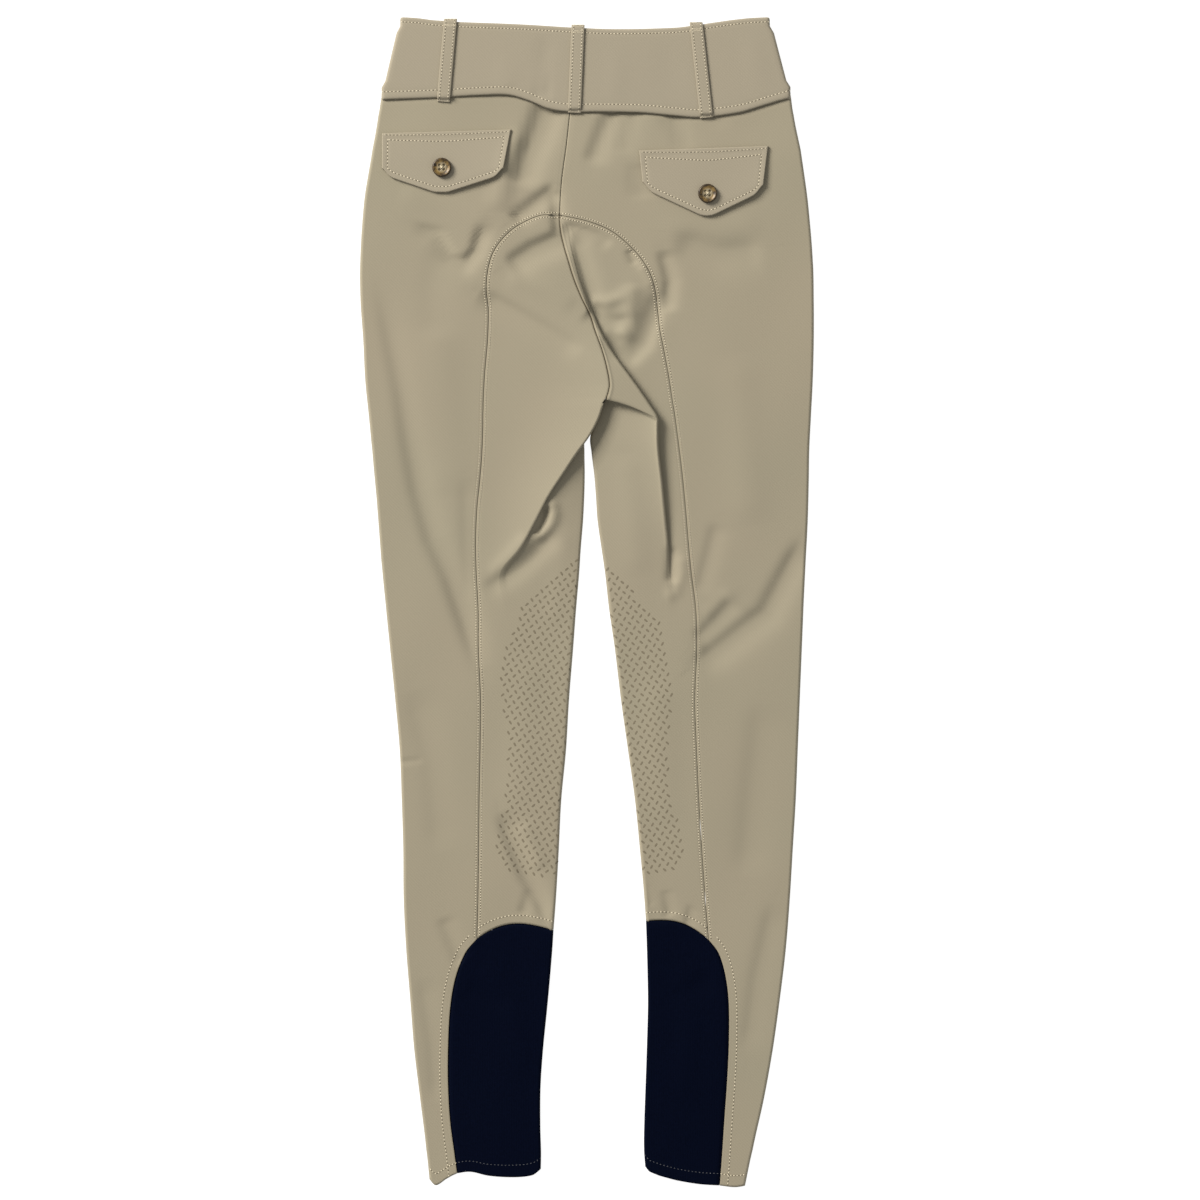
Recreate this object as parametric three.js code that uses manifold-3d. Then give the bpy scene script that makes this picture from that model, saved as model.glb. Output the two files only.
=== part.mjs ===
// Riding breeches laid flat on their front, seen from the back: contoured waistband, two outer back
// panels, two full-seat inner panels, two stretch calf panels, two plain fronts, buttoned pocket
// flaps and belt loops. Millimetres, +Z up, +Y towards the waist, the underside on Z = 0.
import * as THREE from 'three';
import { mergeVertices } from 'three/addons/utils/BufferGeometryUtils.js';
import Module from 'manifold-3d';

const CLOTH = 1.2;          // wall of the stretch cloth
const BAND_WALL = 2.0;      // waistband: two layers and their stiffener
const FLAP_WALL = 1.8;      // pocket flap: two layers
const LOOP_WALL = 1.3;      // belt loop: folded strip
const SEAM_GAP = 0.3;       // between neighbouring pieces
const ARCH_GAP = 0.4;       // between a seat panel and the calf panel below it
const BAND_GAP = 0.45;      // between the band and the panels below it
const EDGE_RADIUS = 3.2;    // half width of the soft fold at the outline
const SIDE_SEAM_INSET = 16; // side seam, measured in from the outline on the underside
const FRONT_LIFT = 1.6;     // the band's front lies on the front belt loops
const BAND_TOP = 6.6;       // upper face of the band's back
const LOFT_WAIST = 5.2;     // upper face of the back at the waist seam
const LOFT_SEAT = 6.3;      // and over seat and thigh
const LOFT_HEM = 4.8;       // and at the hem
const FOLD_STEPS = 4;       // faces round the soft fold at the outline
const BACK_COLUMNS = 8;     // faces across an outer back panel, and across the band above it
const SEAT_COLUMNS = 6;     // faces across a seat panel from its seam to the centre back or the fold
const SHELF_COLUMNS = 3;    // across the strips below a fold, and across a front panel
const GROOVE_COLUMNS = 3;   // down into the groove beside the right panel's ridge
const FALL_COLUMNS = 5;     // from that ridge to the inner edge, and across a calf panel
const FLAP_COLUMNS = 12;
const FLAP_ROWS = 4;
// How late a panel's height leaves the back's own for that of its far edge (powers of the share).
const RISE_TO_FOLD = 2.2;
const DROP_TO_GROOVE = 1.5;
const FALL_FROM_RIDGE = 0.9;
const CALF_TO_EDGE = 3;
const ARCH_SKEW = 0.85;     // moves the arch's highest point towards the inner edge
const LOOP_WIDTH = 10.5;
const BUTTON_LIFT = 0.2;    // share of the flap's lift under its button
const BUTTON_RADIUS = 7.6;
const BUTTON_HEIGHT = 3.0;
const BUTTON_HOLE_RADIUS = 0.9;
const BUTTON_HOLE_OFFSET = 1.7;

// Turns rows of numbers into objects with named columns.
function table(names, rows) {
  return rows.map((row) => Object.fromEntries(names.map((name, i) => [name, row[i]])));
}

// Smooth curve through one column of a table, at a fractional row number (Catmull-Rom).
function smooth(rows, name, at) {
  const i = Math.max(0, Math.min(Math.floor(at), rows.length - 2));
  const f = at - i;
  const value = (k) => rows[k][name];
  const b = value(i);
  const c = value(i + 1);
  const a = i > 0 ? value(i - 1) : 2 * b - c;
  const d = i + 2 < rows.length ? value(i + 2) : 2 * c - b;
  return b + 0.5 * f * (c - a + f * (2 * a - 5 * b + 4 * c - d + f * (3 * (b - c) + d - a)));
}

// Value of column `name` where column `key` (rising or falling) has the value `at`.
function lookUp(rows, key, name, at) {
  const rising = rows[rows.length - 1][key] > rows[0][key] ? 1 : -1;
  let i = 0;
  while (i < rows.length - 2 && rising * (at - rows[i + 1][key]) > 0) i += 1;
  const span = rows[i + 1][key] - rows[i][key];
  const f = Math.max(0, Math.min(1, (at - rows[i][key]) / span));
  return smooth(rows, name, i + f);
}

const mix = (a, b, f) => a + (b - a) * f;
const ease = (f) => { const g = Math.max(0, Math.min(1, f)); return g * g * (3 - 2 * g); };

// Outline of the laid garment: outer edge of each leg, and inner edge below the crotch.
const OUTER = {
  left: table(['y', 'x'], [[404.4, -164.8], [390, -167.2], [362, -172], [322, -178.4], [274, -181.6],
    [242, -181.4], [210, -179.2], [178, -177.6], [146, -174.4], [122, -172], [82, -168.4],
    [34, -164.8], [2, -161.6], [-38, -157.6], [-78, -153.6], [-118, -150], [-158, -148.4],
    [-198, -147.2], [-238, -146.8], [-278, -144.8], [-318, -141.6], [-358, -138.4],
    [-398, -133.6], [-438, -128.8], [-464, -126]]),
  right: table(['y', 'x'], [[406, 163.2], [390, 165.6], [362, 171.2], [322, 176.8], [274, 180.8],
    [242, 181.6], [210, 181.6], [178, 180.8], [146, 179.2], [122, 178], [98, 177.6], [66, 176.8],
    [34, 175.2], [2, 173.6], [-38, 172], [-78, 170.4], [-118, 168.8], [-158, 167.2],
    [-198, 164.8], [-238, 162.4], [-278, 159.2], [-318, 154.4], [-358, 148.8], [-398, 141.6],
    [-438, 132.8], [-468, 126.4]]),
};

// Centre-back seam from the waist to the corner where the seat panels begin.
const CENTRE_BACK = table(['outLeft', 'outRight', 'x', 'y', 'steps'], [
  [404.4, 406, -13.4, 394.6, 2], [370, 370, -16.4, 366, 2], [335, 335, -20.2, 337, 2],
  [302, 302, -21.8, 310, 0]]);

// Sections through each leg from that corner down. out: height of the outer edge; seam: seat seam;
// crest: high edge of the big fold (above the crotch it is the centre-back seam on the left leg);
// foot: height of the cloth at the fold's foot; inner: inner edge (above the crotch, centre back);
// wrap: width of the panel on the underside; steps: rows of the wall to the next section.
const SEAT_LEFT = table(['out', 'seamX', 'seamY', 'crestX', 'crestY', 'crestZ', 'steps'], [
  [302, -21.8, 310, -21.8, 310, 6.3, 1], [293, -37.6, 309.6, -20.9, 298, 6.3, 1],
  [285, -53.6, 302.6, -18.3, 286, 6.3, 1], [276, -65.6, 293, -14.7, 272, 6.4, 1],
  [266, -74.8, 280.4, -10.3, 258, 6.6, 1], [256, -79.2, 266, -4.3, 243, 7, 1],
  [244, -80.4, 250, 2.2, 229.5, 8, 1], [231, -78.8, 234, 6.6, 217, 9.4, 1],
  [210, -79.4, 210, 11.4, 204, 11, 2], [182, -81.8, 182, 16.4, 182, 13, 2],
  [160, -82.9, 160, 15.2, 160.6, 14, 0]]);
const LEG_LEFT = table(['out', 'seamX', 'seamY', 'crestX', 'crestY', 'crestZ', 'footX', 'footY',
  'footZ', 'innerX', 'innerY', 'innerZ', 'wrap', 'steps'], [
  [157, -82.9, 156, 10, 158.6, 14.4, 12.8, 158.8, 9, 13.6, 159, 5.6, 8, 1],
  [149, -83.1, 149, 5.6, 146, 14.4, 8.8, 146.4, 8, 9.4, 146.6, 5.6, 9, 1],
  [138, -83.2, 138, -1.4, 132.6, 14.2, 1.6, 132.8, 7, 2.2, 133, 5.6, 11, 1],
  [126, -83.6, 126, -11, 118.6, 13.6, -6.6, 119.6, 5.2, -1.6, 120, 5.6, 13, 1],
  [112, -84.4, 112, -21.4, 103, 13, -16.8, 103, 5, -1.6, 103, 5.6, 16, 1],
  [94, -86, 94, -32, 85, 12.2, -27, 85, 5.2, -2.2, 85, 5.6, 20, 1],
  [74, -88, 74, -43, 65, 11, -37, 65, 5.5, -3.2, 65, 5.7, 24, 1],
  [50, -89, 50, -57, 43, 9.4, -49, 43, 5.8, -5, 43, 5.8, 30, 1],
  [26, -88.6, 26, -62, 22, 7.6, -52, 22, 6, -6.4, 22, 5.9, 35, 2],
  [-6, -87, -6, -60, -7, 6.4, -46, -7, 6.2, -8.8, -6, 6, 40, 2],
  [-38, -86.8, -38, -60, -38, 6.2, -44, -38, 6.2, -11.2, -38, 6, 44, 2],
  [-78, -85, -78, -60, -78, 6, -44, -78, 6, -14.4, -78, 5.8, 47, 2],
  [-118, -85.4, -118, -61, -118, 5.9, -46, -118, 5.9, -16.8, -118, 5.7, 49, 2],
  [-158, -86.2, -158, -63, -158, 5.8, -49, -158, 5.8, -20.6, -158, 5.6, 50, 2],
  [-198, -86.6, -198, -64, -198, 5.7, -51, -198, 5.7, -22.6, -198, 5.5, 50, 2],
  [-238, -87.2, -240, -65, -238, 5.6, -53, -237, 5.6, -24.8, -236, 5.4, 50, 2],
  [-270, -88, -269.2, -66, -267, 5.5, -54, -265, 5.5, -26.8, -262, 5.3, 50, 0]]);

const SEAT_RIGHT = table(['out', 'seamX', 'seamY', 'footX', 'footY', 'footZ', 'crestX', 'crestY',
  'crestZ', 'innerX', 'innerY', 'innerZ', 'steps'], [
  [302, -21.8, 310, -21.8, 310, 6.3, -21.8, 310, 6.3, -21.8, 310, 6.3, 1],
  [292, 2.4, 304.4, -7, 301.4, 6.3, -12, 300.4, 6.3, -20.9, 298, 6.3, 1],
  [282, 21.6, 295.8, 3, 291, 6.3, -4, 289.6, 6.3, -18.3, 286, 6.3, 1],
  [272, 39.4, 280, 11, 276.4, 6.2, 4, 275, 6.4, -14.7, 272, 6.4, 1],
  [261, 50, 264.4, 16, 261, 6.1, 7, 260, 6.6, -10.3, 258, 6.6, 1],
  [248, 54.8, 249.4, 17, 245, 6, 8, 244, 7.1, -4.3, 243, 7, 1],
  [233, 56.6, 234, 19, 230.6, 5.8, 11, 230, 8.4, 2.2, 229.5, 8, 1],
  [218, 58.4, 218, 25, 216, 5.7, 16.4, 216.4, 10, 6.6, 217, 9.4, 1],
  [202, 61.6, 202, 34, 198, 5.6, 25, 198.6, 11.8, 11.4, 204, 11, 2],
  [180, 65.6, 180, 49, 174, 5.5, 41, 174.6, 13.2, 16.4, 182, 13, 2],
  [160, 68.8, 159, 62.8, 150, 5.5, 57, 151.4, 14, 15.2, 160.6, 14, 0]]);
const LEG_RIGHT = table(['out', 'seamX', 'seamY', 'footX', 'footY', 'footZ', 'crestX', 'crestY',
  'crestZ', 'innerX', 'innerY', 'innerZ', 'wrap', 'steps'], [
  [156, 69.6, 155, 63.4, 147, 5.4, 58.6, 147.6, 13.6, 14.4, 156.4, 5.8, 8, 1],
  [146, 71, 145, 64.6, 137, 5.2, 59.8, 137.4, 13.2, 10.4, 146.4, 5.8, 9, 1],
  [134, 72.6, 133, 66, 126, 5, 61, 126.2, 12.8, 3.4, 133, 5.7, 11, 1],
  [120, 74.4, 119, 67.4, 113, 5, 61.6, 113, 12.2, 3.4, 120, 5.6, 13, 1],
  [102, 76.4, 102, 68.4, 98, 5, 62, 98, 11.4, 5.4, 102, 5.6, 16, 1],
  [84, 78.2, 84, 69.6, 81, 5.1, 62.6, 81, 10.4, 6.8, 84, 5.6, 20, 1],
  [66, 79.8, 66, 71.4, 64, 5.2, 63.6, 64, 9.2, 8, 66, 5.7, 24, 1],
  [46, 81.4, 46, 73.6, 45, 5.3, 65.4, 45, 7.8, 10.8, 46, 5.8, 30, 1],
  [24, 83.6, 24, 75.4, 24, 5.6, 66.6, 24, 6.6, 14, 24, 5.9, 35, 2],
  [-6, 87.2, -6, 76, -6, 6, 66, -6, 6.3, 17.8, -6, 6, 40, 2],
  [-38, 88, -38, 77, -38, 6.1, 66, -38, 6.2, 22.4, -38, 6, 44, 2],
  [-78, 86.4, -78, 76, -78, 6, 66, -78, 6, 27.2, -78, 5.8, 47, 2],
  [-118, 87.8, -118, 78, -118, 5.9, 68, -118, 5.9, 32.8, -118, 5.7, 49, 2],
  [-158, 89.6, -158, 80, -158, 5.8, 70, -158, 5.8, 38.4, -158, 5.6, 50, 2],
  [-198, 92, -198, 82, -198, 5.7, 73, -198, 5.7, 42.4, -198, 5.5, 50, 2],
  [-236, 94.8, -238, 85, -236, 5.6, 75, -234.6, 5.6, 45.4, -230, 5.4, 50, 2],
  [-268, 97.4, -270, 87, -266.8, 5.5, 77, -263.7, 5.5, 47.2, -254.6, 5.3, 50, 0]]);

// Sections through each lower leg: seam is now the edge of the stretch calf panel.
const CALF_LEFT = table(['out', 'seamX', 'seamY', 'innerX', 'innerY', 'innerZ', 'wrap', 'steps'], [
  [-270, -88, -269.2, -26.8, -262, 5.3, 50, 1], [-284, -97.6, -281, -27.8, -278, 5.2, 54, 1],
  [-302, -105.4, -301, -29.6, -300, 5.2, 58, 1], [-326, -109.6, -326, -32, -326, 5.1, 60, 2],
  [-358, -111.2, -358, -35.2, -358, 5, 60, 2], [-386, -111.2, -386, -37.2, -388, 4.9, 58, 2],
  [-414, -109.6, -414, -37.4, -418, 4.8, 56, 2], [-440, -106.4, -440, -36.8, -440, 4.7, 54, 1],
  [-462, -104, -459.9, -37, -453.6, 4.6, 53, 0]]);
const CALF_RIGHT = table(['out', 'seamX', 'seamY', 'innerX', 'innerY', 'innerZ', 'wrap', 'steps'], [
  [-268, 97.4, -270, 47.2, -254.6, 5.3, 50, 1], [-280, 105.4, -281, 47.8, -272, 5.2, 54, 1],
  [-298, 110.8, -299, 48.4, -294, 5.2, 58, 1], [-322, 113.4, -322, 48.8, -322, 5.1, 60, 2],
  [-354, 113.4, -354, 48, -354, 5, 60, 2], [-384, 112, -384, 47, -384, 4.9, 58, 2],
  [-412, 110, -412, 46, -412, 4.8, 56, 2], [-440, 108, -440, 45.6, -436, 4.7, 54, 1],
  [-467, 106.2, -463.6, 46.6, -451.6, 4.6, 53, 0]]);

// Centre-front seam on the underside, straight from the waist to the crotch.
const CENTRE_FRONT = table(['x', 'y'], [[-6, 395], [12, 161]]);

// Upper edge of the waistband.
const BAND_EDGE = table(['x', 'y'], [[-149.6, 468.4], [-136, 467.6], [-124, 466], [-100.8, 464.4],
  [-53.6, 462.6], [-1.6, 459.6], [30, 458.8], [72, 460], [92.8, 462.6], [104, 464.4], [115.2, 466],
  [129.6, 467.6], [146.4, 468.4]]);

// Pocket flaps: corners, point and button. lift: how far the lower corner stands off the back.
const FLAP_CLEARANCE = 0.5;
const FLAPS = {
  left: { topLeft: [-164, 375.4], topRight: [-60.6, 378.4], lowLeft: [-164, 342], lowRight: [-66.6, 342],
    tip: [-116.8, 326], button: [-116, 347.6], lift: 1.6 },
  right: { topLeft: [41.6, 361.6], topRight: [145, 365.2], lowLeft: [44.4, 331], lowRight: [141, 328.6],
    tip: [96, 307], button: [96.4, 326.8], lift: 1.2 },
};

const LOOP_CLEARANCE = 0.4;
const LOOP_TAIL = 4.5;      // the loop's end below the waist seam
const LOOPS = [
  { name: 'back_left', foot: [-114.8, 406], head: [-109.2, 465] },
  { name: 'back_centre', foot: [-10, 394.6], head: [-7.2, 460] },
  { name: 'back_right', foot: [95.6, 390.4], head: [87.4, 462.6] },
];
const FRONT_LOOP_X = { left: -72, right: 60 };

// How far the waist seam and the hem leave the straight line between their ends.
const WAIST_SEAM = table(['x', 'y'], [[-164.8, 404.4], [-117.6, 406], [-82, 408], [-62, 408],
  [-46, 403.4], [-30, 397], [-13.4, 394.6], [10, 394.6], [42.4, 394], [70, 391.6], [90.4, 390.2],
  [122.4, 394], [146, 401], [163.2, 406]]);
const SEAM_MIDDLE = 6;      // row of the waist seam that meets the centre back
const HEM = {
  left: table(['x', 'y'], [[-126, -462], [-121, -466.4], [-112, -461], [-104, -457], [-93, -455.6],
    [-80, -458.6], [-66, -460], [-52, -460], [-43, -458.4], [-37, -453.6]]),
  right: table(['x', 'y'], [[46.6, -451.6], [50, -455.6], [58, -458.8], [72, -462.4], [90, -465.2],
    [106, -466.2], [118, -467.8], [126.4, -467]]),
};
const ARCH_RISE = { left: 9, right: 7 }; // the calf panel's arched top above the line between its ends
const BLEND = 55;           // length over which these shapes fade into the straight sections

// The largest folds of the back: a soft ridge or trough along a path.
const FOLDS = [
  { path: [[-32, 392], [-54, 350]], halfWidth: 12, rise: -1.6 },
  { path: [[-169, 248], [-160, 150], [-146, 70], [-104, -30]], halfWidth: 14, rise: -2.4 },
  { path: [[-76, 238], [-10, 206]], halfWidth: 13, rise: -1.4 },
  { path: [[20, 390], [4, 350]], halfWidth: 11, rise: -1.2 },
  { path: [[52, 238], [30, 200]], halfWidth: 12, rise: -1.6 },
  { path: [[166, 48], [142, -2], [100, -50]], halfWidth: 12, rise: -2 },
  { path: [[-64, -180], [-34, -256]], halfWidth: 12, rise: -1.8 },
  { path: [[118, 2], [90, -26]], halfWidth: 10, rise: -1.4 },
  { path: [[-136, 300], [-92, 262]], halfWidth: 13, rise: -1.2 },
];

// Distance in plan from a point to a path of straight pieces.
function distanceTo(path, x, y) {
  let nearest = Infinity;
  for (let i = 0; i + 1 < path.length; i += 1) {
    const [ax, ay] = path[i];
    const [dx, dy] = [path[i + 1][0] - ax, path[i + 1][1] - ay];
    const f = Math.max(0, Math.min(1, ((x - ax) * dx + (y - ay) * dy) / (dx * dx + dy * dy)));
    nearest = Math.min(nearest, Math.hypot(x - ax - f * dx, y - ay - f * dy));
  }
  return nearest;
}

function foldRise(x, y) {
  let rise = 0;
  for (const fold of FOLDS) {
    rise += fold.rise * Math.exp(-1.5 * (distanceTo(fold.path, x, y) / fold.halfWidth) ** 2);
  }
  return rise;
}

// Height of the back's upper face away from edges and big folds.
function loft(y) {
  const waist = ease((400 - y) / 50);
  const leg = ease((120 - y) / 580);
  return mix(mix(LOFT_WAIST, LOFT_SEAT, waist), LOFT_HEM, leg);
}

const backHeight = (x, y) => loft(y) + foldRise(x, y);

// Every row of the wall between the sections of one table.
function sections(rows) {
  const out = [];
  rows.forEach((row, i) => {
    const count = i === rows.length - 1 ? 1 : row.steps;
    for (let k = 0; k < count; k += 1) {
      const at = i + k / count;
      const names = Object.keys(row);
      out.push(Object.fromEntries(names.map((name) => [name, smooth(rows, name, at)])));
    }
  });
  return out;
}

// Points from a to b, both [x, y, z]: straight in plan, with the height from heightAt(f, x, y).
function run(a, b, count, heightAt) {
  const points = [];
  for (let k = 0; k <= count; k += 1) {
    const f = k / count;
    const x = mix(a[0], b[0], f);
    const y = mix(a[1], b[1], f);
    points.push([x, y, heightAt(f, x, y)]);
  }
  return points;
}

// Soft fold at an outline point: half ellipse from the upper face (height high) down to the
// underside (height low), then flat along the underside to `under` from the outline.
// `inward` is a unit vector in plan.
function edgeFold(edge, inward, radius, high, low, under, underSteps) {
  const point = (inset, z) => [edge[0] + inward[0] * inset, edge[1] + inward[1] * inset, z];
  const points = [];
  for (let k = 0; k <= FOLD_STEPS; k += 1) {
    const a = Math.PI * (0.5 - k / FOLD_STEPS);
    points.push(point(radius * (1 - Math.cos(a)), mix(low, high, (1 + Math.sin(a)) / 2)));
  }
  for (let k = 1; k <= underSteps; k += 1) points.push(point(mix(radius, under, k / underSteps), low));
  return points;
}

function unit(from, to) {
  const length = Math.hypot(to[0] - from[0], to[1] - from[1]);
  return [(to[0] - from[0]) / length, (to[1] - from[1]) / length];
}

// Closed wall from welded grids of points: the given face and its copy one thickness below it,
// joined round every free edge. faceUp says whether the first face looks up (1) or down (-1).
// The first and last rows of each grid are cut square to the garment's length.
function wall(grids, thickness, faceUp = 1) {
  const points = [];
  const index = new Map();
  const indexOf = (p) => {
    const key = p.map((value) => Math.round(value * 1000)).join(',');
    if (!index.has(key)) {
      index.set(key, points.length);
      points.push(new THREE.Vector3(...p));
    }
    return index.get(key);
  };
  const faces = [];
  const square = new Set();
  const addFace = (a, b, c) => {
    if (a !== b && b !== c && c !== a) faces.push([a, b, c]);
  };
  for (const grid of grids) {
    const ids = grid.map((row) => row.map(indexOf));
    for (const id of [...ids[0], ...ids.at(-1)]) square.add(id);
    for (let i = 0; i + 1 < ids.length; i += 1) {
      for (let j = 0; j + 1 < ids[i].length; j += 1) {
        addFace(ids[i][j], ids[i + 1][j], ids[i + 1][j + 1]);
        addFace(ids[i][j], ids[i + 1][j + 1], ids[i][j + 1]);
      }
    }
  }
  const normalOf = ([a, b, c]) => new THREE.Vector3().crossVectors(
    points[b].clone().sub(points[a]), points[c].clone().sub(points[a]));
  if (normalOf(faces[0]).z * faceUp < 0) faces.forEach((face) => face.reverse());
  const normals = points.map(() => new THREE.Vector3());
  for (const face of faces) {
    const normal = normalOf(face);
    for (const id of face) normals[id].add(normal);
  }
  for (const id of square) normals[id].y = 0;
  const count = points.length;
  const position = [];
  for (const p of points) position.push(p.x, p.y, p.z);
  points.forEach((p, i) => {
    const inner = p.clone().addScaledVector(normals[i].normalize(), -thickness);
    position.push(inner.x, inner.y, inner.z);
  });
  const triangles = [];
  const edges = new Set();
  for (const [a, b, c] of faces) {
    triangles.push(a, b, c, a + count, c + count, b + count);
    edges.add(`${a},${b}`).add(`${b},${c}`).add(`${c},${a}`);
  }
  for (const edge of edges) {
    const [a, b] = edge.split(',').map(Number);
    if (!edges.has(`${b},${a}`)) triangles.push(a, a + count, b, b, a + count, b + count);
  }
  return closedGeometry(position, triangles);
}

function closedGeometry(position, triangles) {
  const geometry = new THREE.BufferGeometry();
  geometry.setAttribute('position', new THREE.BufferAttribute(new Float32Array(position), 3));
  geometry.setIndex(triangles);
  return geometry;
}

// Moves each seam point half a seam gap to one side of the seam, mitred at corners.
function offsetSeam(points, side) {
  return points.map((p, i) => {
    const before = points[Math.max(0, i - 1)];
    const after = points[Math.min(points.length - 1, i + 1)];
    const a = i > 0 ? unit(before, p) : unit(p, after);
    const b = i < points.length - 1 ? unit(p, after) : a;
    const reach = (side * SEAM_GAP) / 2 / (1 + a[0] * b[0] + a[1] * b[1]);
    return [p[0] - (a[1] + b[1]) * reach, p[1] + (a[0] + b[0]) * reach];
  });
}

// Waist seam and hem: the height along the garment of a point that the straight sections put at y.
function bend(side, x, y) {
  const hem = HEM[side];
  const middle = WAIST_SEAM[SEAM_MIDDLE];
  const waist = side === 'left' ? [WAIST_SEAM[0], middle] : [middle, WAIST_SEAM.at(-1)];
  const above = (ends, points) => {
    const f = (x - ends[0].x) / (ends[1].x - ends[0].x);
    return lookUp(points, 'x', 'y', x) - mix(ends[0].y, ends[1].y, Math.max(0, Math.min(1, f)));
  };
  const nearWaist = ease((y - middle.y + BLEND) / BLEND);
  const nearHem = ease((hem[0].y + 1.5 * BLEND - y) / BLEND - 0.5);
  return y + nearWaist * above(waist, WAIST_SEAM) + nearHem * above([hem[0], hem.at(-1)], hem);
}

// One half of the garment below the waist: each row from the waist seam to the hem, with its outline
// point, its seam point offset to either side, and the points that the panels share.
function halfRows(side) {
  const left = side === 'left';
  const top = sections(CENTRE_BACK).map((row) => ({
    part: 'top', out: left ? row.outLeft : row.outRight, seamX: row.x, seamY: row.y }));
  const seat = sections(left ? SEAT_LEFT : SEAT_RIGHT).map((row) => ({ part: 'seat', ...row }));
  const leg = sections(left ? LEG_LEFT : LEG_RIGHT).map((row) => ({ part: 'leg', ...row }));
  const calf = sections(left ? CALF_LEFT : CALF_RIGHT).map((row) => ({ part: 'calf', ...row }));
  const rows = [...top.slice(0, -1), ...seat, ...leg.slice(0, -1), ...calf];
  const seam = rows.map((row) => [row.seamX, row.seamY]);
  const outside = offsetSeam(seam, left ? -1 : 1);
  const inside = offsetSeam(seam, left ? 1 : -1);
  rows.forEach((row, i) => {
    row.edge = [lookUp(OUTER[side], 'y', 'x', row.out), row.out];
    row.outside = outside[i];
    row.inside = inside[i];
    row.inward = unit(row.edge, row.outside);
  });
  const corner = seat[0];
  corner.inside = [corner.seamX + ((left ? -1 : 1) * SEAM_GAP) / 2, corner.seamY - SEAM_GAP / 2];
  const last = leg.at(-1);
  last.inside = rows.find((row) => row.part === 'calf').inside;
  return { rows, seat: [...seat, ...leg.slice(0, -1), last], calf: rows.filter((row) => row.part === 'calf') };
}

const bent = (side, points) => points.map(([x, y, z]) => [x, bend(side, x, y), z]);

// Outer back panel: from the seam over the back and round the outer edge to the side seam.
function backPanel(side, half) {
  const grid = half.rows.map((row) => {
    const high = backHeight(...row.edge);
    const roll = edgeFold(row.edge, row.inward, EDGE_RADIUS, high, 0, SIDE_SEAM_INSET, 1);
    const face = run(row.outside, roll[0], BACK_COLUMNS, (f, x, y) => backHeight(x, y));
    return bent(side, [...face.slice(0, -1), ...roll]);
  });
  return wall([grid], CLOTH);
}

// How far a row is lifted by the calf panel's arched top, at a fraction f across it.
function archLift(side, row, f) {
  const arch = (side === 'left' ? CALF_LEFT : CALF_RIGHT)[0].seamY;
  return ARCH_RISE[side] * Math.sin(Math.PI * f ** ARCH_SKEW) * ease(1 - Math.abs(row.seamY - arch) / BLEND);
}

// The inner edge of a row: the soft fold and the wrap on the underside.
function innerFold(row, from) {
  const edge = [row.innerX, row.innerY];
  const radius = Math.min(EDGE_RADIUS, 0.9 * Math.hypot(edge[0] - from[0], edge[1] - from[1]));
  return edgeFold(edge, unit(edge, row.inside), radius, row.innerZ, 0, row.wrap, 2);
}

// Lifts the points of a row's upper face by the calf arch.
function arched(side, row, points) {
  const end = row.innerX;
  return points.map(([x, y, z]) => {
    const f = (x - row.inside[0]) / (end - row.inside[0]);
    return [x, y + (f > 0 && f < 1 ? archLift(side, row, f) : 0), z];
  });
}

// Full-seat panel of the left leg, with the high edge of the big crotch fold across it.
function seatLeft(half) {
  const crestOf = (row) => [row.crestX - (row.part === 'seat' ? SEAM_GAP / 2 : 0), row.crestY];
  const main = half.seat.map((row) => arched('left', row, run(row.inside, crestOf(row), SEAT_COLUMNS,
    (f, x, y) => mix(backHeight(x, y), row.crestZ, f ** RISE_TO_FOLD))));
  const below = half.seat.filter((row) => row.part === 'leg').map((row) => {
    const crest = [row.crestX, row.crestY, row.crestZ];
    const foot = [row.footX, row.footY, row.footZ];
    const halfWay = [mix(crest[0], foot[0], 0.7), mix(crest[1], foot[1], 0.7), mix(crest[2], foot[2], 0.45)];
    const roll = innerFold(row, foot);
    const shelf = run(foot, roll[0], SHELF_COLUMNS, (f) => mix(row.footZ, row.innerZ, f));
    const folded = arched('left', row, [crest, halfWay, ...shelf.slice(0, -1)]);
    return [...folded, ...roll];
  });
  return wall([main, below], CLOTH);
}

// Full-seat panel of the right leg: a groove along the outer side of its ridge, and above the
// crotch a fold that hangs over the leg.
function seatRight(half) {
  const grid = (rows) => rows.map((row) => {
    const foot = [row.footX, row.footY, row.footZ];
    const crest = [row.crestX, row.crestY, row.crestZ];
    const roll = row.part === 'leg' ? innerFold(row, crest) : [];
    const inner = roll.length ? roll[0] : centreBackOf(row);
    const groove = run(row.inside, foot, GROOVE_COLUMNS,
      (f, x, y) => mix(backHeight(x, y), row.footZ, f ** DROP_TO_GROOVE));
    const flank = [mix(foot[0], crest[0], 0.45), mix(foot[1], crest[1], 0.45), mix(foot[2], crest[2], 0.6)];
    const fall = run(crest, inner, FALL_COLUMNS, (f) => mix(row.crestZ, row.innerZ, f ** FALL_FROM_RIDGE));
    const face = arched('right', row, [...groove, flank, ...fall]);
    return { face, roll };
  });
  const rows = grid(half.seat);
  const main = rows.map((row) => row.face);
  const under = rows.filter((row) => row.roll.length).map((row) => [row.face.at(-1), ...row.roll.slice(1)]);
  return wall([main, under], CLOTH);
}

// The right panel's side of the centre-back seam.
const centreBackOf = (row) => [row.innerX + SEAM_GAP / 2, row.innerY];

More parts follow.
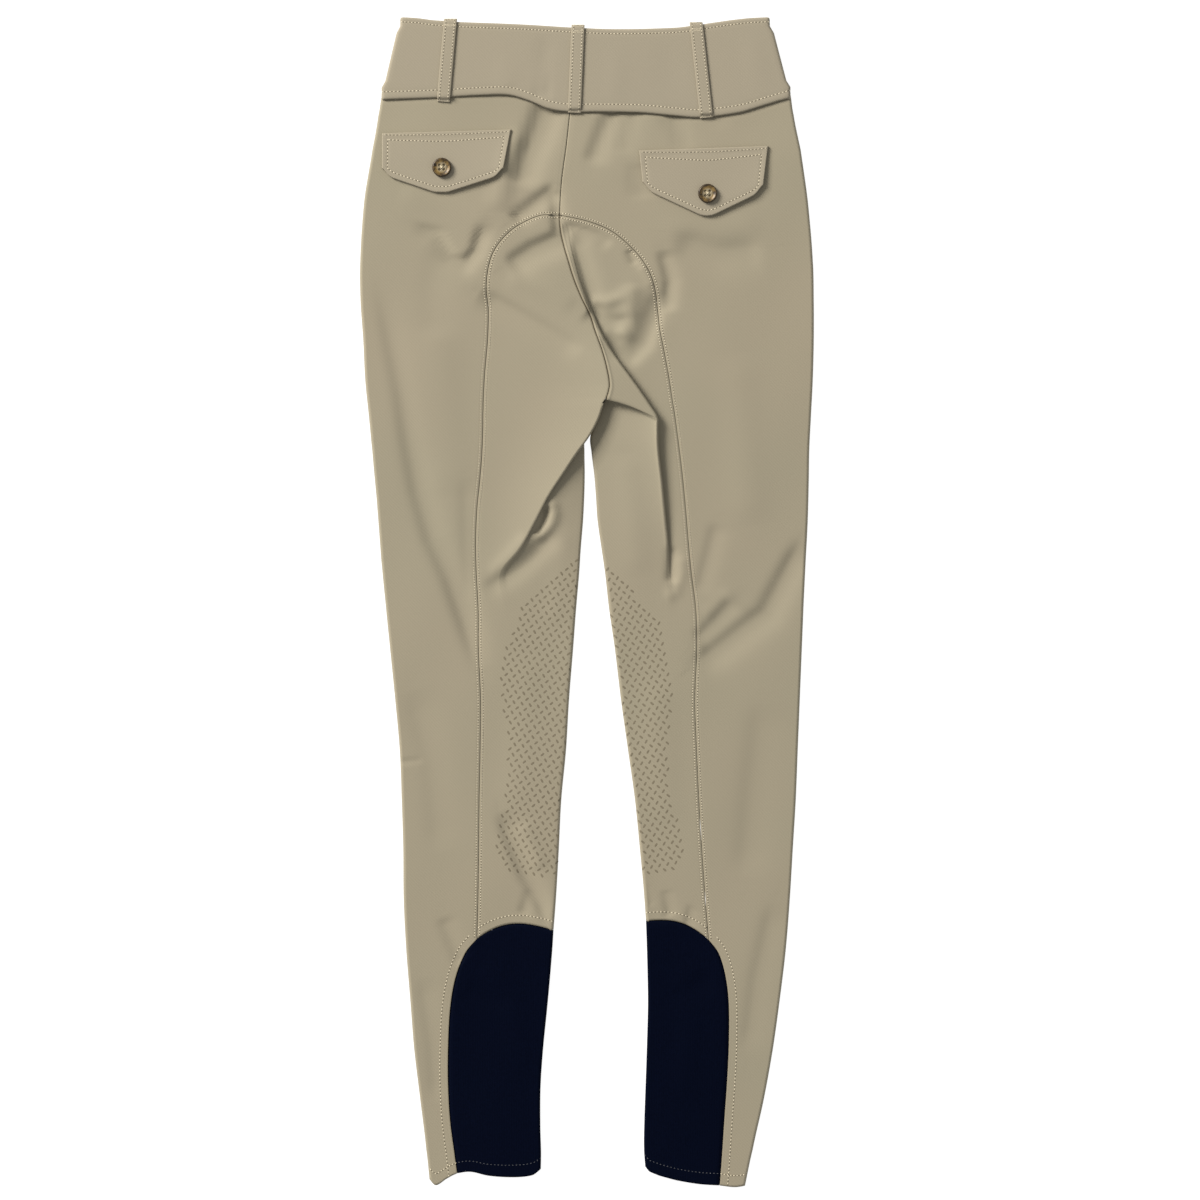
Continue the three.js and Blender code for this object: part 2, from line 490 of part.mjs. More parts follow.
// Stretch panel of the lower leg: from its arched seam round the inner edge to the underside.
function calfPanel(side, half) {
  const grid = half.calf.map((row, i) => {
    const roll = innerFold(row, row.inside);
    const face = run(row.inside, roll[0], FALL_COLUMNS,
      (f, x, y) => mix(backHeight(x, y), row.innerZ, f ** CALF_TO_EDGE));
    const points = [...arched(side, row, face.slice(0, -1)), ...roll];
    return bent(side, points).map(([x, y, z]) => [x, i === 0 ? y - ARCH_GAP : y, z]);
  });
  return wall([grid], CLOTH);
}

// Front panel, flat on the ground: from the side seam to the centre front, and below the crotch to
// the inner panels' edge.
function frontPanel(side, half) {
  const sign = side === 'left' ? -1 : 1;
  const grid = half.rows.map((row) => {
    const inset = SIDE_SEAM_INSET + SEAM_GAP;
    const outer = [row.edge[0] + row.inward[0] * inset, row.edge[1] + row.inward[1] * inset];
    let inner;
    if (row.wrap) {
      const inward = unit([row.innerX, row.innerY], row.inside);
      const reach = row.wrap + SEAM_GAP;
      inner = [row.innerX + inward[0] * reach, row.innerY + inward[1] * reach];
    } else {
      const y = row.part === 'top' ? row.seamY : (row.innerY ?? row.crestY);
      inner = [centreFrontX(y) + (sign * SEAM_GAP) / 2, y];
    }
    return bent(side, run(outer, inner, SHELF_COLUMNS, () => 0));
  });
  return wall([grid], CLOTH, -1);
}

const centreFrontX = (y) => mix(CENTRE_FRONT[1].x, CENTRE_FRONT[0].x, (y - CENTRE_FRONT[1].y)
  / (CENTRE_FRONT[0].y - CENTRE_FRONT[1].y));

// Waistband: one wall from the centre front round both sides, open at the centre front.
function waistband() {
  const rows = [];
  const column = (bottom, top, z) => [0, 1 / 3, 2 / 3, 1].map((f) => [
    mix(bottom[0], top[0], f), mix(bottom[1], top[1], f), z]);
  const bottomAt = (x) => [x, lookUp(WAIST_SEAM, 'x', 'y', x) + BAND_GAP];
  const topAt = (x) => [x, lookUp(BAND_EDGE, 'x', 'y', x)];
  const [bottomLeft, bottomRight] = [WAIST_SEAM[0].x, WAIST_SEAM.at(-1).x];
  const [topLeft, topRight] = [BAND_EDGE[0].x, BAND_EDGE.at(-1).x];
  const width = bottomRight - bottomLeft;
  const fraction = (x) => (x - bottomLeft) / width;
  const at = (f, z) => column(bottomAt(mix(bottomLeft, bottomRight, f)), topAt(mix(topLeft, topRight, f)), z);
  const edge = (BAND_TOP - FRONT_LIFT) / 2 / width;
  const turn = (atRight) => {
    for (let k = 1; k < FOLD_STEPS; k += 1) {
      const a = Math.PI * (k / FOLD_STEPS - 0.5);
      const inset = edge * (1 - Math.cos(a));
      const z = mix(FRONT_LIFT, BAND_TOP, (1 + Math.sin(atRight ? -a : a)) / 2);
      rows.push(at(atRight ? 1 - inset : inset, z));
    }
  };
  const columns = [edge];
  const middle = fraction(CENTRE_BACK[0].x);
  for (let k = 0; k < BACK_COLUMNS; k += 1) columns.push(mix(EDGE_RADIUS / width, middle, k / BACK_COLUMNS));
  for (let k = 0; k <= BACK_COLUMNS; k += 1) columns.push(mix(middle, 1 - EDGE_RADIUS / width, k / BACK_COLUMNS));
  columns.push(1 - edge);
  const centre = fraction(centreFrontX(395));
  const end = SEAM_GAP / width;
  const frontLeft = [centre - end, ...columns.filter((f) => f < centre - 4 * end).reverse()];
  const frontRight = [...columns.filter((f) => f > centre + 4 * end).reverse(), centre + end];
  for (const f of frontLeft) rows.push(at(f, FRONT_LIFT));
  turn(false);
  for (const f of columns) rows.push(at(f, BAND_TOP));
  turn(true);
  for (const f of frontRight) rows.push(at(f, FRONT_LIFT));
  const acrossBand = [3, 2, 1, 0].map((k) => rows.map((row) => row[k]));
  return wall([acrossBand], BAND_WALL, -1);
}

// Pocket flap: a pointed tab lying on the back, its free edge a little lifted.
function flap(shape) {
  const grid = [];
  for (let i = 0; i <= FLAP_ROWS; i += 1) {
    const down = i / FLAP_ROWS;
    grid.push(Array.from({ length: FLAP_COLUMNS + 1 }, (_, j) => {
      const f = j / FLAP_COLUMNS;
      const x = mix(mix(shape.topLeft[0], shape.topRight[0], f), flapFoot(shape, f)[0], down);
      const top = mix(shape.topLeft[1], shape.topRight[1], f);
      const y = mix(top, flapFoot(shape, f)[1], down);
      return [x, y, flapHeight(shape, x, y, f, down)];
    }));
  }
  return wall([grid], FLAP_WALL);
}

// Lower edge of a flap at a fraction f of its width: two straight sides to a blunt point, with
// rounded outer corners.
function flapFoot(shape, f) {
  const x = mix(shape.lowLeft[0], shape.lowRight[0], f);
  const tip = (shape.tip[0] - shape.lowLeft[0]) / (shape.lowRight[0] - shape.lowLeft[0]);
  const straight = f < tip ? mix(shape.lowLeft[1], shape.tip[1], f / tip)
    : mix(shape.tip[1], shape.lowRight[1], (f - tip) / (1 - tip));
  const blunt = 2.2 * Math.exp(-(((f - tip) / 0.06) ** 2));
  const corner = 5 * (Math.exp(-((f / 0.05) ** 2)) + Math.exp(-(((1 - f) / 0.05) ** 2)));
  return [x, straight + blunt + corner];
}

const flapHeight = (shape, x, y, f, down) => backHeight(x, y) + FLAP_CLEARANCE + FLAP_WALL
  + shape.lift * ease(down) * f * f;

// Four-hole button: a turned disc with a raised rim.
async function buttonGeometry() {
  const wasm = await Module();
  wasm.setup();
  const solid = (geometry) => {
    geometry.deleteAttribute('normal');
    geometry.deleteAttribute('uv');
    const merged = mergeVertices(geometry, 1e-4);
    return new wasm.Manifold(new wasm.Mesh({
      numProp: 3,
      vertProperties: Float32Array.from(merged.attributes.position.array),
      triVerts: Uint32Array.from(merged.index.array),
    }));
  };
  const profile = [[0, 0], [BUTTON_RADIUS - 1.2, 0], [BUTTON_RADIUS, 1.1], [BUTTON_RADIUS - 0.1, 2.1],
    [BUTTON_RADIUS - 0.9, BUTTON_HEIGHT], [BUTTON_RADIUS - 1.7, BUTTON_HEIGHT - 0.2],
    [BUTTON_RADIUS - 2.5, 2], [0, 1.9]].map(([x, y]) => new THREE.Vector2(x, y));
  const disc = new THREE.LatheGeometry(profile, 24);
  disc.rotateX(Math.PI / 2);
  let button = solid(disc);
  for (const [sx, sy] of [[1, 1], [1, -1], [-1, 1], [-1, -1]]) {
    const drill = new THREE.CylinderGeometry(BUTTON_HOLE_RADIUS, BUTTON_HOLE_RADIUS, 4 * BUTTON_HEIGHT, 8);
    drill.rotateX(Math.PI / 2);
    drill.translate(sx * BUTTON_HOLE_OFFSET, sy * BUTTON_HOLE_OFFSET, 0);
    button = button.subtract(solid(drill));
  }
  const mesh = button.getMesh();
  return closedGeometry(mesh.vertProperties, Array.from(mesh.triVerts));
}

// Belt loop on the back: a strip from just below the waist seam, up over the band and round its
// top edge. foot and head are the strip's middle on the waist seam and on the band's top edge.
function backLoop(foot, head) {
  const onBody = LOFT_WAIST + LOOP_CLEARANCE + LOOP_WALL;
  const onBand = BAND_TOP + LOOP_CLEARANCE + LOOP_WALL;
  const path = [[foot[1] - LOOP_TAIL, onBody], [foot[1] - 2, onBody + 0.2], [foot[1] - 0.8, onBand],
    [mix(foot[1], head[1], 0.5), onBand + 0.3], [head[1] - 2.5, onBand], [head[1] + 0.8, onBand - 0.2],
    [head[1] + LOOP_WALL + 0.5, onBand - 1.2], [head[1] + LOOP_WALL + 0.5, onBand - 3.2]];
  const grid = path.map(([y, z]) => {
    const x = mix(foot[0], head[0], (y - foot[1]) / (head[1] - foot[1]));
    return [[x - LOOP_WIDTH / 2, y, z], [x + LOOP_WIDTH / 2, y, z]];
  });
  return wall([grid.reverse()], LOOP_WALL);
}

// Belt loop on the front: a strip under the band, flat on the ground.
function frontLoop(x) {
  const bottom = lookUp(WAIST_SEAM, 'x', 'y', x) + 3;
  const top = lookUp(BAND_EDGE, 'x', 'y', x) - 0.5;
  const grid = [bottom, mix(bottom, top, 0.5), top].map((y) => [
    [x - LOOP_WIDTH / 2, y, 0], [x + LOOP_WIDTH / 2, y, 0]]);
  return wall([grid], LOOP_WALL, -1);
}

const MATERIALS = {
  khaki: new THREE.MeshStandardMaterial({ color: '#a69b84', roughness: 0.85, metalness: 0 }),
  khakiLight: new THREE.MeshStandardMaterial({ color: '#afa390', roughness: 0.85, metalness: 0 }),
  navy: new THREE.MeshStandardMaterial({ color: '#0c111c', roughness: 0.8, metalness: 0 }),
  horn: new THREE.MeshStandardMaterial({ color: '#5a4632', roughness: 0.3, metalness: 0 }),
};

const breeches = new THREE.Group();

function add(name, geometry, material, at = [0, 0, 0]) {
  geometry.computeVertexNormals();
  const mesh = new THREE.Mesh(geometry, material);
  mesh.name = name;
  mesh.position.set(...at);
  breeches.add(mesh);
}

add('waistband', waistband(), MATERIALS.khakiLight);
for (const side of ['left', 'right']) {
  const half = halfRows(side);
  add(`back_${side}`, backPanel(side, half), MATERIALS.khaki);
  add(`seat_${side}`, side === 'left' ? seatLeft(half) : seatRight(half), MATERIALS.khaki);
  add(`calf_${side}`, calfPanel(side, half), MATERIALS.navy);
  add(`front_${side}`, frontPanel(side, half), MATERIALS.khaki);
  const shape = FLAPS[side];
  add(`flap_${side}`, flap(shape), MATERIALS.khakiLight);
  const [x, y] = shape.button;
  const z = backHeight(x, y) + FLAP_CLEARANCE + FLAP_WALL + SEAM_GAP + shape.lift * BUTTON_LIFT;
  add(`button_${side}`, await buttonGeometry(), MATERIALS.horn, [x, y, z]);
}
for (const loop of LOOPS) add(`loop_${loop.name}`, backLoop(loop.foot, loop.head), MATERIALS.khakiLight);
for (const side of ['left', 'right']) add(`loop_front_${side}`, frontLoop(FRONT_LOOP_X[side]), MATERIALS.khaki);

export default breeches;
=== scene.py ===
import bmesh
import bpy
import numpy as np
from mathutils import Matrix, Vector
from mathutils.bvhtree import BVHTree


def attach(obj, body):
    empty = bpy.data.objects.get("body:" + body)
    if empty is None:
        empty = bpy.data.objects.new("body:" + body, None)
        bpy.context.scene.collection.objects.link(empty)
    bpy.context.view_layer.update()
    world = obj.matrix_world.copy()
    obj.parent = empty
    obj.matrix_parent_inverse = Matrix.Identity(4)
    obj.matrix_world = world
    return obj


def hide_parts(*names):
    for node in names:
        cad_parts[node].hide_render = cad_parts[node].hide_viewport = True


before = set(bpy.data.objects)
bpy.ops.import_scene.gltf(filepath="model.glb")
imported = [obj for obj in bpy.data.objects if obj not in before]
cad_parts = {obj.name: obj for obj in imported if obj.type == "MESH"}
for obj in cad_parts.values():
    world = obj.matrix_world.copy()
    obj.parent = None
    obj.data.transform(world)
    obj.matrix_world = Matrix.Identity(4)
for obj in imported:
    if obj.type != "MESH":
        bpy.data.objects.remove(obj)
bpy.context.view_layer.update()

# Colours come out as they are, with no film curve.
bpy.context.scene.view_settings.view_transform = "Standard"

# The table: opal acrylic lit from inside that fills the view with white, under a pale room. A large
# soft window stands at the upper left, so every fold has a lit side and a shaded side, and the camera
# hangs straight above.


def linear(hex_colour):
    """Linear red, green, blue and alpha of an sRGB hex colour."""
    channels = np.array([int(hex_colour[i:i + 2], 16) for i in (1, 3, 5)]) / 255
    return (*np.where(channels <= 0.04045, channels / 12.92, ((channels + 0.055) / 1.055) ** 2.4), 1.0)


def add_node(tree, kind, inputs=None, **settings):
    """A new node: inputs are values for its sockets, or other nodes' sockets that are linked to them."""
    made = tree.nodes.new(kind)
    for name, value in settings.items():
        setattr(made, name, value)
    for key, value in (inputs or {}).items():
        if isinstance(value, bpy.types.NodeSocket):
            tree.links.new(value, made.inputs[key])
        else:
            made.inputs[key].default_value = value
    return made


def new_material(name):
    """An empty material and its node tree."""
    made = bpy.data.materials.new(name)
    made.use_nodes = True
    made.node_tree.nodes.clear()
    return made, made.node_tree


TABLE_HALF = 3.0        # metres
table_mesh = bpy.data.meshes.new("table_top")
table_corners = [(TABLE_HALF * x, TABLE_HALF * y, 0) for x, y in ((-1, -1), (1, -1), (1, 1), (-1, 1))]
table_mesh.from_pydata(table_corners, [], [(0, 1, 2, 3)])
table_top = bpy.data.objects.new("table_top", table_mesh)
bpy.context.scene.collection.objects.link(table_top)
# Opal acrylic: matt white with a trace of mottle and a weak light of its own, so shadows stay pale.
opal_acrylic, tree = new_material("opal_acrylic")
place = add_node(tree, "ShaderNodeTexCoord")
mottle = add_node(tree, "ShaderNodeTexNoise", {"Vector": place.outputs["Object"], "Scale": 9.0})
tone = add_node(tree, "ShaderNodeMix", {"Factor": mottle.outputs["Fac"], "A": linear("#7c7c7c"),
                                        "B": linear("#828282")}, data_type="RGBA")
surface = add_node(tree, "ShaderNodeBsdfPrincipled", {
    "Base Color": tone.outputs["Result"], "Roughness": 0.8, "Specular IOR Level": 0.2,
    "Emission Color": linear("#ffffff"), "Emission Strength": 0.92})
add_node(tree, "ShaderNodeOutputMaterial", {"Surface": surface.outputs["BSDF"]})
table_mesh.materials.append(opal_acrylic)

VIEW_CENTRE, VIEW_WIDTH = (0.0104, 0.0020), 0.960   # what the picture shows, in metres
VIEW_HEIGHT = 0.006                                 # height at which it is that wide: the cloth's face
LENS, SENSOR = 100.0, 36.0
camera_data = bpy.data.cameras.new("camera")
camera_data.lens = LENS
camera_data.sensor_width = SENSOR
camera = bpy.data.objects.new("camera", camera_data)
camera.location = (*VIEW_CENTRE, VIEW_WIDTH * LENS / SENSOR + VIEW_HEIGHT)
bpy.context.scene.collection.objects.link(camera)
bpy.context.scene.camera = camera

world = bpy.data.worlds.new("pale_room")
world.use_nodes = True
background = world.node_tree.nodes["Background"].inputs
background["Color"].default_value = linear("#f6f6f4")
background["Strength"].default_value = 0.46
bpy.context.scene.world = world
# Name, place, size of its square, watts and colour.
WINDOWS = [("window", (-5.0, 4.0, 3.7), 3.0, 1070.0, "#fffaf3"),
           ("far_wall", (1.6, -1.2, 1.6), 1.6, 6.0, "#f4f6ff")]
for name, spot, size, watts, colour in WINDOWS:
    lamp = bpy.data.lights.new(name, "AREA")
    lamp.shape = "SQUARE"
    lamp.size = size
    lamp.energy = watts
    lamp.color = linear(colour)[:3]
    held = bpy.data.objects.new(name, lamp)
    held.location = spot
    held.rotation_euler = (Vector((*VIEW_CENTRE, 0)) - Vector(spot)).to_track_quat("-Z", "Y").to_euler()
    bpy.context.scene.collection.objects.link(held)

# Outer back panels, left and right: stretch woven cloth, cut from the waist to the hem, turned over
# the outline to a side seam on the underside. The inner edge is sewn to the other back above the
# seat, then to the full-seat panel and to the knitted calf panel, with a coverstitch on the seam.
MM = 0.001
CLOTH = 1.2             # wall of the stretch cloth
SEAM_GAP = 0.3          # between neighbouring pieces
UNDERSIDE = 0.25        # the cloth's lower face, clear of the table by the height of the grip print
EDGE_RADIUS = 2.4       # half width of the soft fold at the outline
SIDE_SEAM_INSET = 16    # side seam, in from the outline on the underside
LOFT = [5.2, 6.3, 4.8]  # upper face at the waist seam, over the seat, and at the hem
ROW_STEP = 2.1          # length of a face along the garment
BLEND = 55              # length over which the waist and hem curves fade into the straight rows


def table(names, rows):
    """Named columns of a table, each one array."""
    return dict(zip(names.split(), np.array(rows, float).T))


OUTLINE = {
    "left": table("y x", [[404.4, -164.8], [390, -167.2], [362, -172], [322, -178.4], [274, -181.6],
                          [242, -181.4], [210, -179.2], [178, -177.6], [146, -174.4], [122, -172],
                          [82, -168.4], [34, -164.8], [2, -161.6], [-38, -157.6], [-78, -153.6],
                          [-118, -150], [-158, -148.4], [-198, -147.2], [-238, -146.8],
                          [-278, -144.8], [-318, -141.6], [-358, -138.4], [-398, -133.6],
                          [-438, -128.8], [-464, -126]]),
    "right": table("y x", [[406, 163.2], [390, 165.6], [362, 171.2], [322, 176.8], [274, 180.8],
                           [242, 181.6], [210, 181.6], [178, 180.8], [146, 179.2], [122, 178],
                           [98, 177.6], [66, 176.8], [34, 175.2], [2, 173.6], [-38, 172],
                           [-78, 170.4], [-118, 168.8], [-158, 167.2], [-198, 164.8], [-238, 162.4],
                           [-278, 159.2], [-318, 154.4], [-358, 148.8], [-398, 141.6],
                           [-438, 132.8], [-468, 126.4]]),
}
# Centre-back seam, from the waist down to its end in the crotch.
CENTRE_BACK = table("y x z", [[394.6, -13.4, 5.2], [366, -16.4, 6.1], [337, -20.2, 6.3],
                              [310, -21.8, 6.3], [298, -21.2, 6.3], [286, -18.6, 6.3],
                              [272, -14.6, 6.5], [258, -10.2, 6.9], [243, -4.1, 7.6],
                              [229.5, 2.6, 8.7], [217, 6.6, 10.1], [202, 12, 11.6],
                              [186.8, 16, 12.9], [174, 18, 13.7], [166.8, 16.8, 14.1],
                              [163, 15.4, 14.2]])
WAIST_TOP = table("out_left out_right seam_y", [[404.4, 406, 394.6], [376, 370, 366], [347, 335, 337],
                                                [319, 302, 310]])
# Sections down each half. out: height of the outer edge. seam: the seam of the seat panel, then of
# the calf panel. back_y: where the section meets the centre back. lip: crisp edge of the crotch
# fold. under: how far the fold is tucked in below its lip, or slopes out of it when negative.
SEAT_LEFT = table("out seam_x seam_y back_y", [
    [319, -21.8, 310, 310], [305, -37.6, 309.6, 298], [291, -53.6, 302.6, 286],
    [279, -65.6, 293, 272], [267, -74.8, 280.4, 258], [256, -79.2, 266, 243], [244, -80.4, 250, 229.5],
    [231, -78.8, 234, 217], [210, -79.4, 210, 202], [182, -81.8, 182, 180], [160, -82.9, 160, 163]])
LEG_NAMES = "out seam_x seam_y lip_x lip_y lip_z under foot_z inner_x inner_y inner_z wrap"
LEG_LEFT = table(LEG_NAMES, [
    [157, -82.9, 156, 14, 159, 14.2, 3.2, 5.4, 10.5, 159.4, 5.2, 8],
    [149, -83.1, 149, 9.6, 146, 14.2, 3.2, 5.4, 6, 146.6, 5.2, 9],
    [138, -83.2, 138, 2.4, 132.6, 14, 3.2, 5.6, -1.4, 133, 5.2, 11],
    [126, -83.6, 126, -7.8, 118.6, 13.4, 2.6, 6.4, -2, 120, 5.4, 13],
    [112, -84.4, 112, -18.3, 103, 12.6, 2.2, 7.8, -1.8, 103, 5.6, 16],
    [94, -86, 94, -30.2, 85, 11.8, 1.8, 8.8, -2.2, 85, 5.6, 20],
    [74, -88, 74, -40.8, 65, 10.6, 1.0, 8.2, -3.2, 65, 5.7, 24],
    [50, -89, 50, -53, 43, 9.2, -3, 7.2, -5, 43, 5.8, 30],
    [26, -88.6, 26, -68, 22, 7.6, -7, 6.4, -6.4, 22, 5.9, 35],
    [-6, -87, -6, -64, -7, 6.4, -12, 6.2, -8.8, -6, 6, 40],
    [-38, -86.8, -38, -62, -38, 6.2, -14, 6.2, -11.2, -38, 6, 44],
    [-78, -85, -78, -62, -78, 6, -14, 6, -14.4, -78, 5.8, 47],
    [-118, -85.4, -118, -63, -118, 5.9, -14, 5.9, -16.8, -118, 5.7, 49],
    [-158, -86.2, -158, -65, -158, 5.8, -14, 5.8, -20.6, -158, 5.6, 50],
    [-198, -86.6, -198, -66, -198, 5.7, -14, 5.7, -22.6, -198, 5.5, 50],
    [-238, -87.2, -240, -67, -238, 5.6, -14, 5.6, -24.8, -236, 5.4, 50],
    [-270, -88, -269.2, -68, -267, 5.5, -14, 5.5, -26.8, -262, 5.3, 50]])
SEAT_RIGHT = table("out seam_x seam_y lip_x lip_y lip_z under foot_z back_y", [
    [302, -21.8, 310, -21.8, 310, 6.3, -4, 6.3, 310],
    [292, 2.4, 304.4, -17.2, 300.4, 6.6, -5, 6.2, 298],
    [282, 21.6, 295.8, -15, 288.4, 6.7, -5, 6, 286],
    [272, 39.4, 280, -11.2, 273.6, 7, -4.4, 5.8, 272],
    [261, 50, 264.4, -7, 259, 7.6, -4, 6, 258],
    [248, 54.8, 249.4, -1.2, 244.2, 8.5, -3.2, 6, 243],
    [233, 56.6, 234, 5.2, 230, 9.7, -2, 6, 229.5],
    [218, 58.4, 218, 11.6, 215.6, 11, -1.4, 6, 217],
    [202, 61.6, 202, 23, 196.6, 12.2, -0.8, 6.2, 202],
    [180, 65.6, 180, 40.8, 172, 13.4, -0.8, 6.4, 179],
    [160, 68.8, 159, 55.9, 149.8, 14, -0.8, 6.6, 164.4]])
LEG_RIGHT = table(LEG_NAMES, [
    [156, 69.6, 155, 57, 146.6, 13.8, -0.8, 6.6, 12.9, 162.8, 5.6, 8],
    [146, 71, 145, 56.9, 137, 13.4, -0.8, 6.4, 8, 147.4, 5.7, 9],
    [134, 72.6, 133, 57.2, 126, 13, -0.8, 6.2, 2.6, 133, 5.7, 11],
    [120, 74.4, 119, 58.4, 113, 12.4, -0.8, 6, 3.6, 120, 5.6, 13],
    [102, 76.4, 102, 60.2, 98, 11.6, -0.8, 5.8, 5.8, 102, 5.6, 16],
    [84, 78.2, 84, 61.8, 81, 10.8, -1, 5.6, 7.2, 84, 5.6, 20],
    [66, 79.8, 66, 63.4, 64, 9.8, -1.2, 5.1, 8.4, 66, 5.7, 24],
    [46, 81.4, 46, 65, 45, 8.4, -2, 5.2, 11.2, 46, 5.8, 30],
    [24, 83.6, 24, 65.2, 24, 7, -5, 5.6, 14.4, 24, 5.9, 35],
    [-6, 87.2, -6, 66, -6, 6.3, -10, 6, 17.8, -6, 6, 40],
    [-38, 88, -38, 66, -38, 6.2, -11, 6.1, 22.4, -38, 6, 44],
    [-78, 86.4, -78, 66, -78, 6, -11, 6, 27.2, -78, 5.8, 47],
    [-118, 87.8, -118, 68, -118, 5.9, -11, 5.9, 32.8, -118, 5.7, 49],
    [-158, 89.6, -158, 70, -158, 5.8, -11, 5.8, 38.4, -158, 5.6, 50],
    [-198, 92, -198, 73, -198, 5.7, -11, 5.7, 42.4, -198, 5.5, 50],
    [-236, 94.8, -238, 75, -234.6, 5.6, -11, 5.6, 45.4, -230, 5.4, 50],
    [-268, 97.4, -270, 77, -263.7, 5.5, -11, 5.5, 47.2, -254.6, 5.3, 50]])
CALF_NAMES = "out seam_x seam_y inner_x inner_y inner_z wrap"
CALF_LEFT = table(CALF_NAMES, [
    [-270, -88, -269.2, -26.8, -262, 5.3, 50], [-284, -97.6, -281, -27.8, -278, 5.2, 54],
    [-302, -105.4, -301, -29.6, -300, 5.2, 58], [-326, -109.6, -326, -32, -326, 5.1, 60],
    [-358, -111.2, -358, -35.2, -358, 5, 60], [-386, -111.2, -386, -37.2, -388, 4.9, 58],
    [-414, -109.6, -414, -37.4, -418, 4.8, 56], [-440, -106.4, -440, -36.8, -440, 4.7, 54],
    [-462, -104, -459.9, -37, -453.6, 4.6, 53]])
CALF_RIGHT = table(CALF_NAMES, [
    [-268, 97.4, -270, 47.2, -254.6, 5.3, 50], [-280, 105.4, -281, 47.8, -272, 5.2, 54],
    [-298, 110.8, -299, 48.4, -294, 5.2, 58], [-322, 113.4, -322, 48.8, -322, 5.1, 60],
    [-354, 113.4, -354, 48, -354, 5, 60], [-384, 112, -384, 47, -384, 4.9, 58],
    [-412, 110, -412, 46, -412, 4.8, 56], [-440, 108, -440, 45.6, -436, 4.7, 54],
    [-467, 106.2, -463.6, 46.6, -451.6, 4.6, 53]])
WAIST_SEAM = table("x y", [[-164.8, 404.4], [-117.6, 406], [-82, 408], [-62, 408], [-46, 403.4],
                           [-30, 397], [-13.4, 394.6], [10, 394.6], [42.4, 394], [70, 391.6],
                           [90.4, 390.2], [122.4, 394], [146, 401], [163.2, 406]])
HEM = {
    "left": table("x y", [[-126, -462], [-121, -466.4], [-112, -461], [-104, -457], [-93, -455.6],
                          [-80, -458.6], [-66, -460], [-52, -460], [-43, -458.4], [-37, -453.6]]),
    "right": table("x y", [[46.6, -451.6], [50, -455.6], [58, -458.8], [72, -462.4], [90, -465.2],
                           [106, -466.2], [118, -467.8], [126.4, -467]]),
}

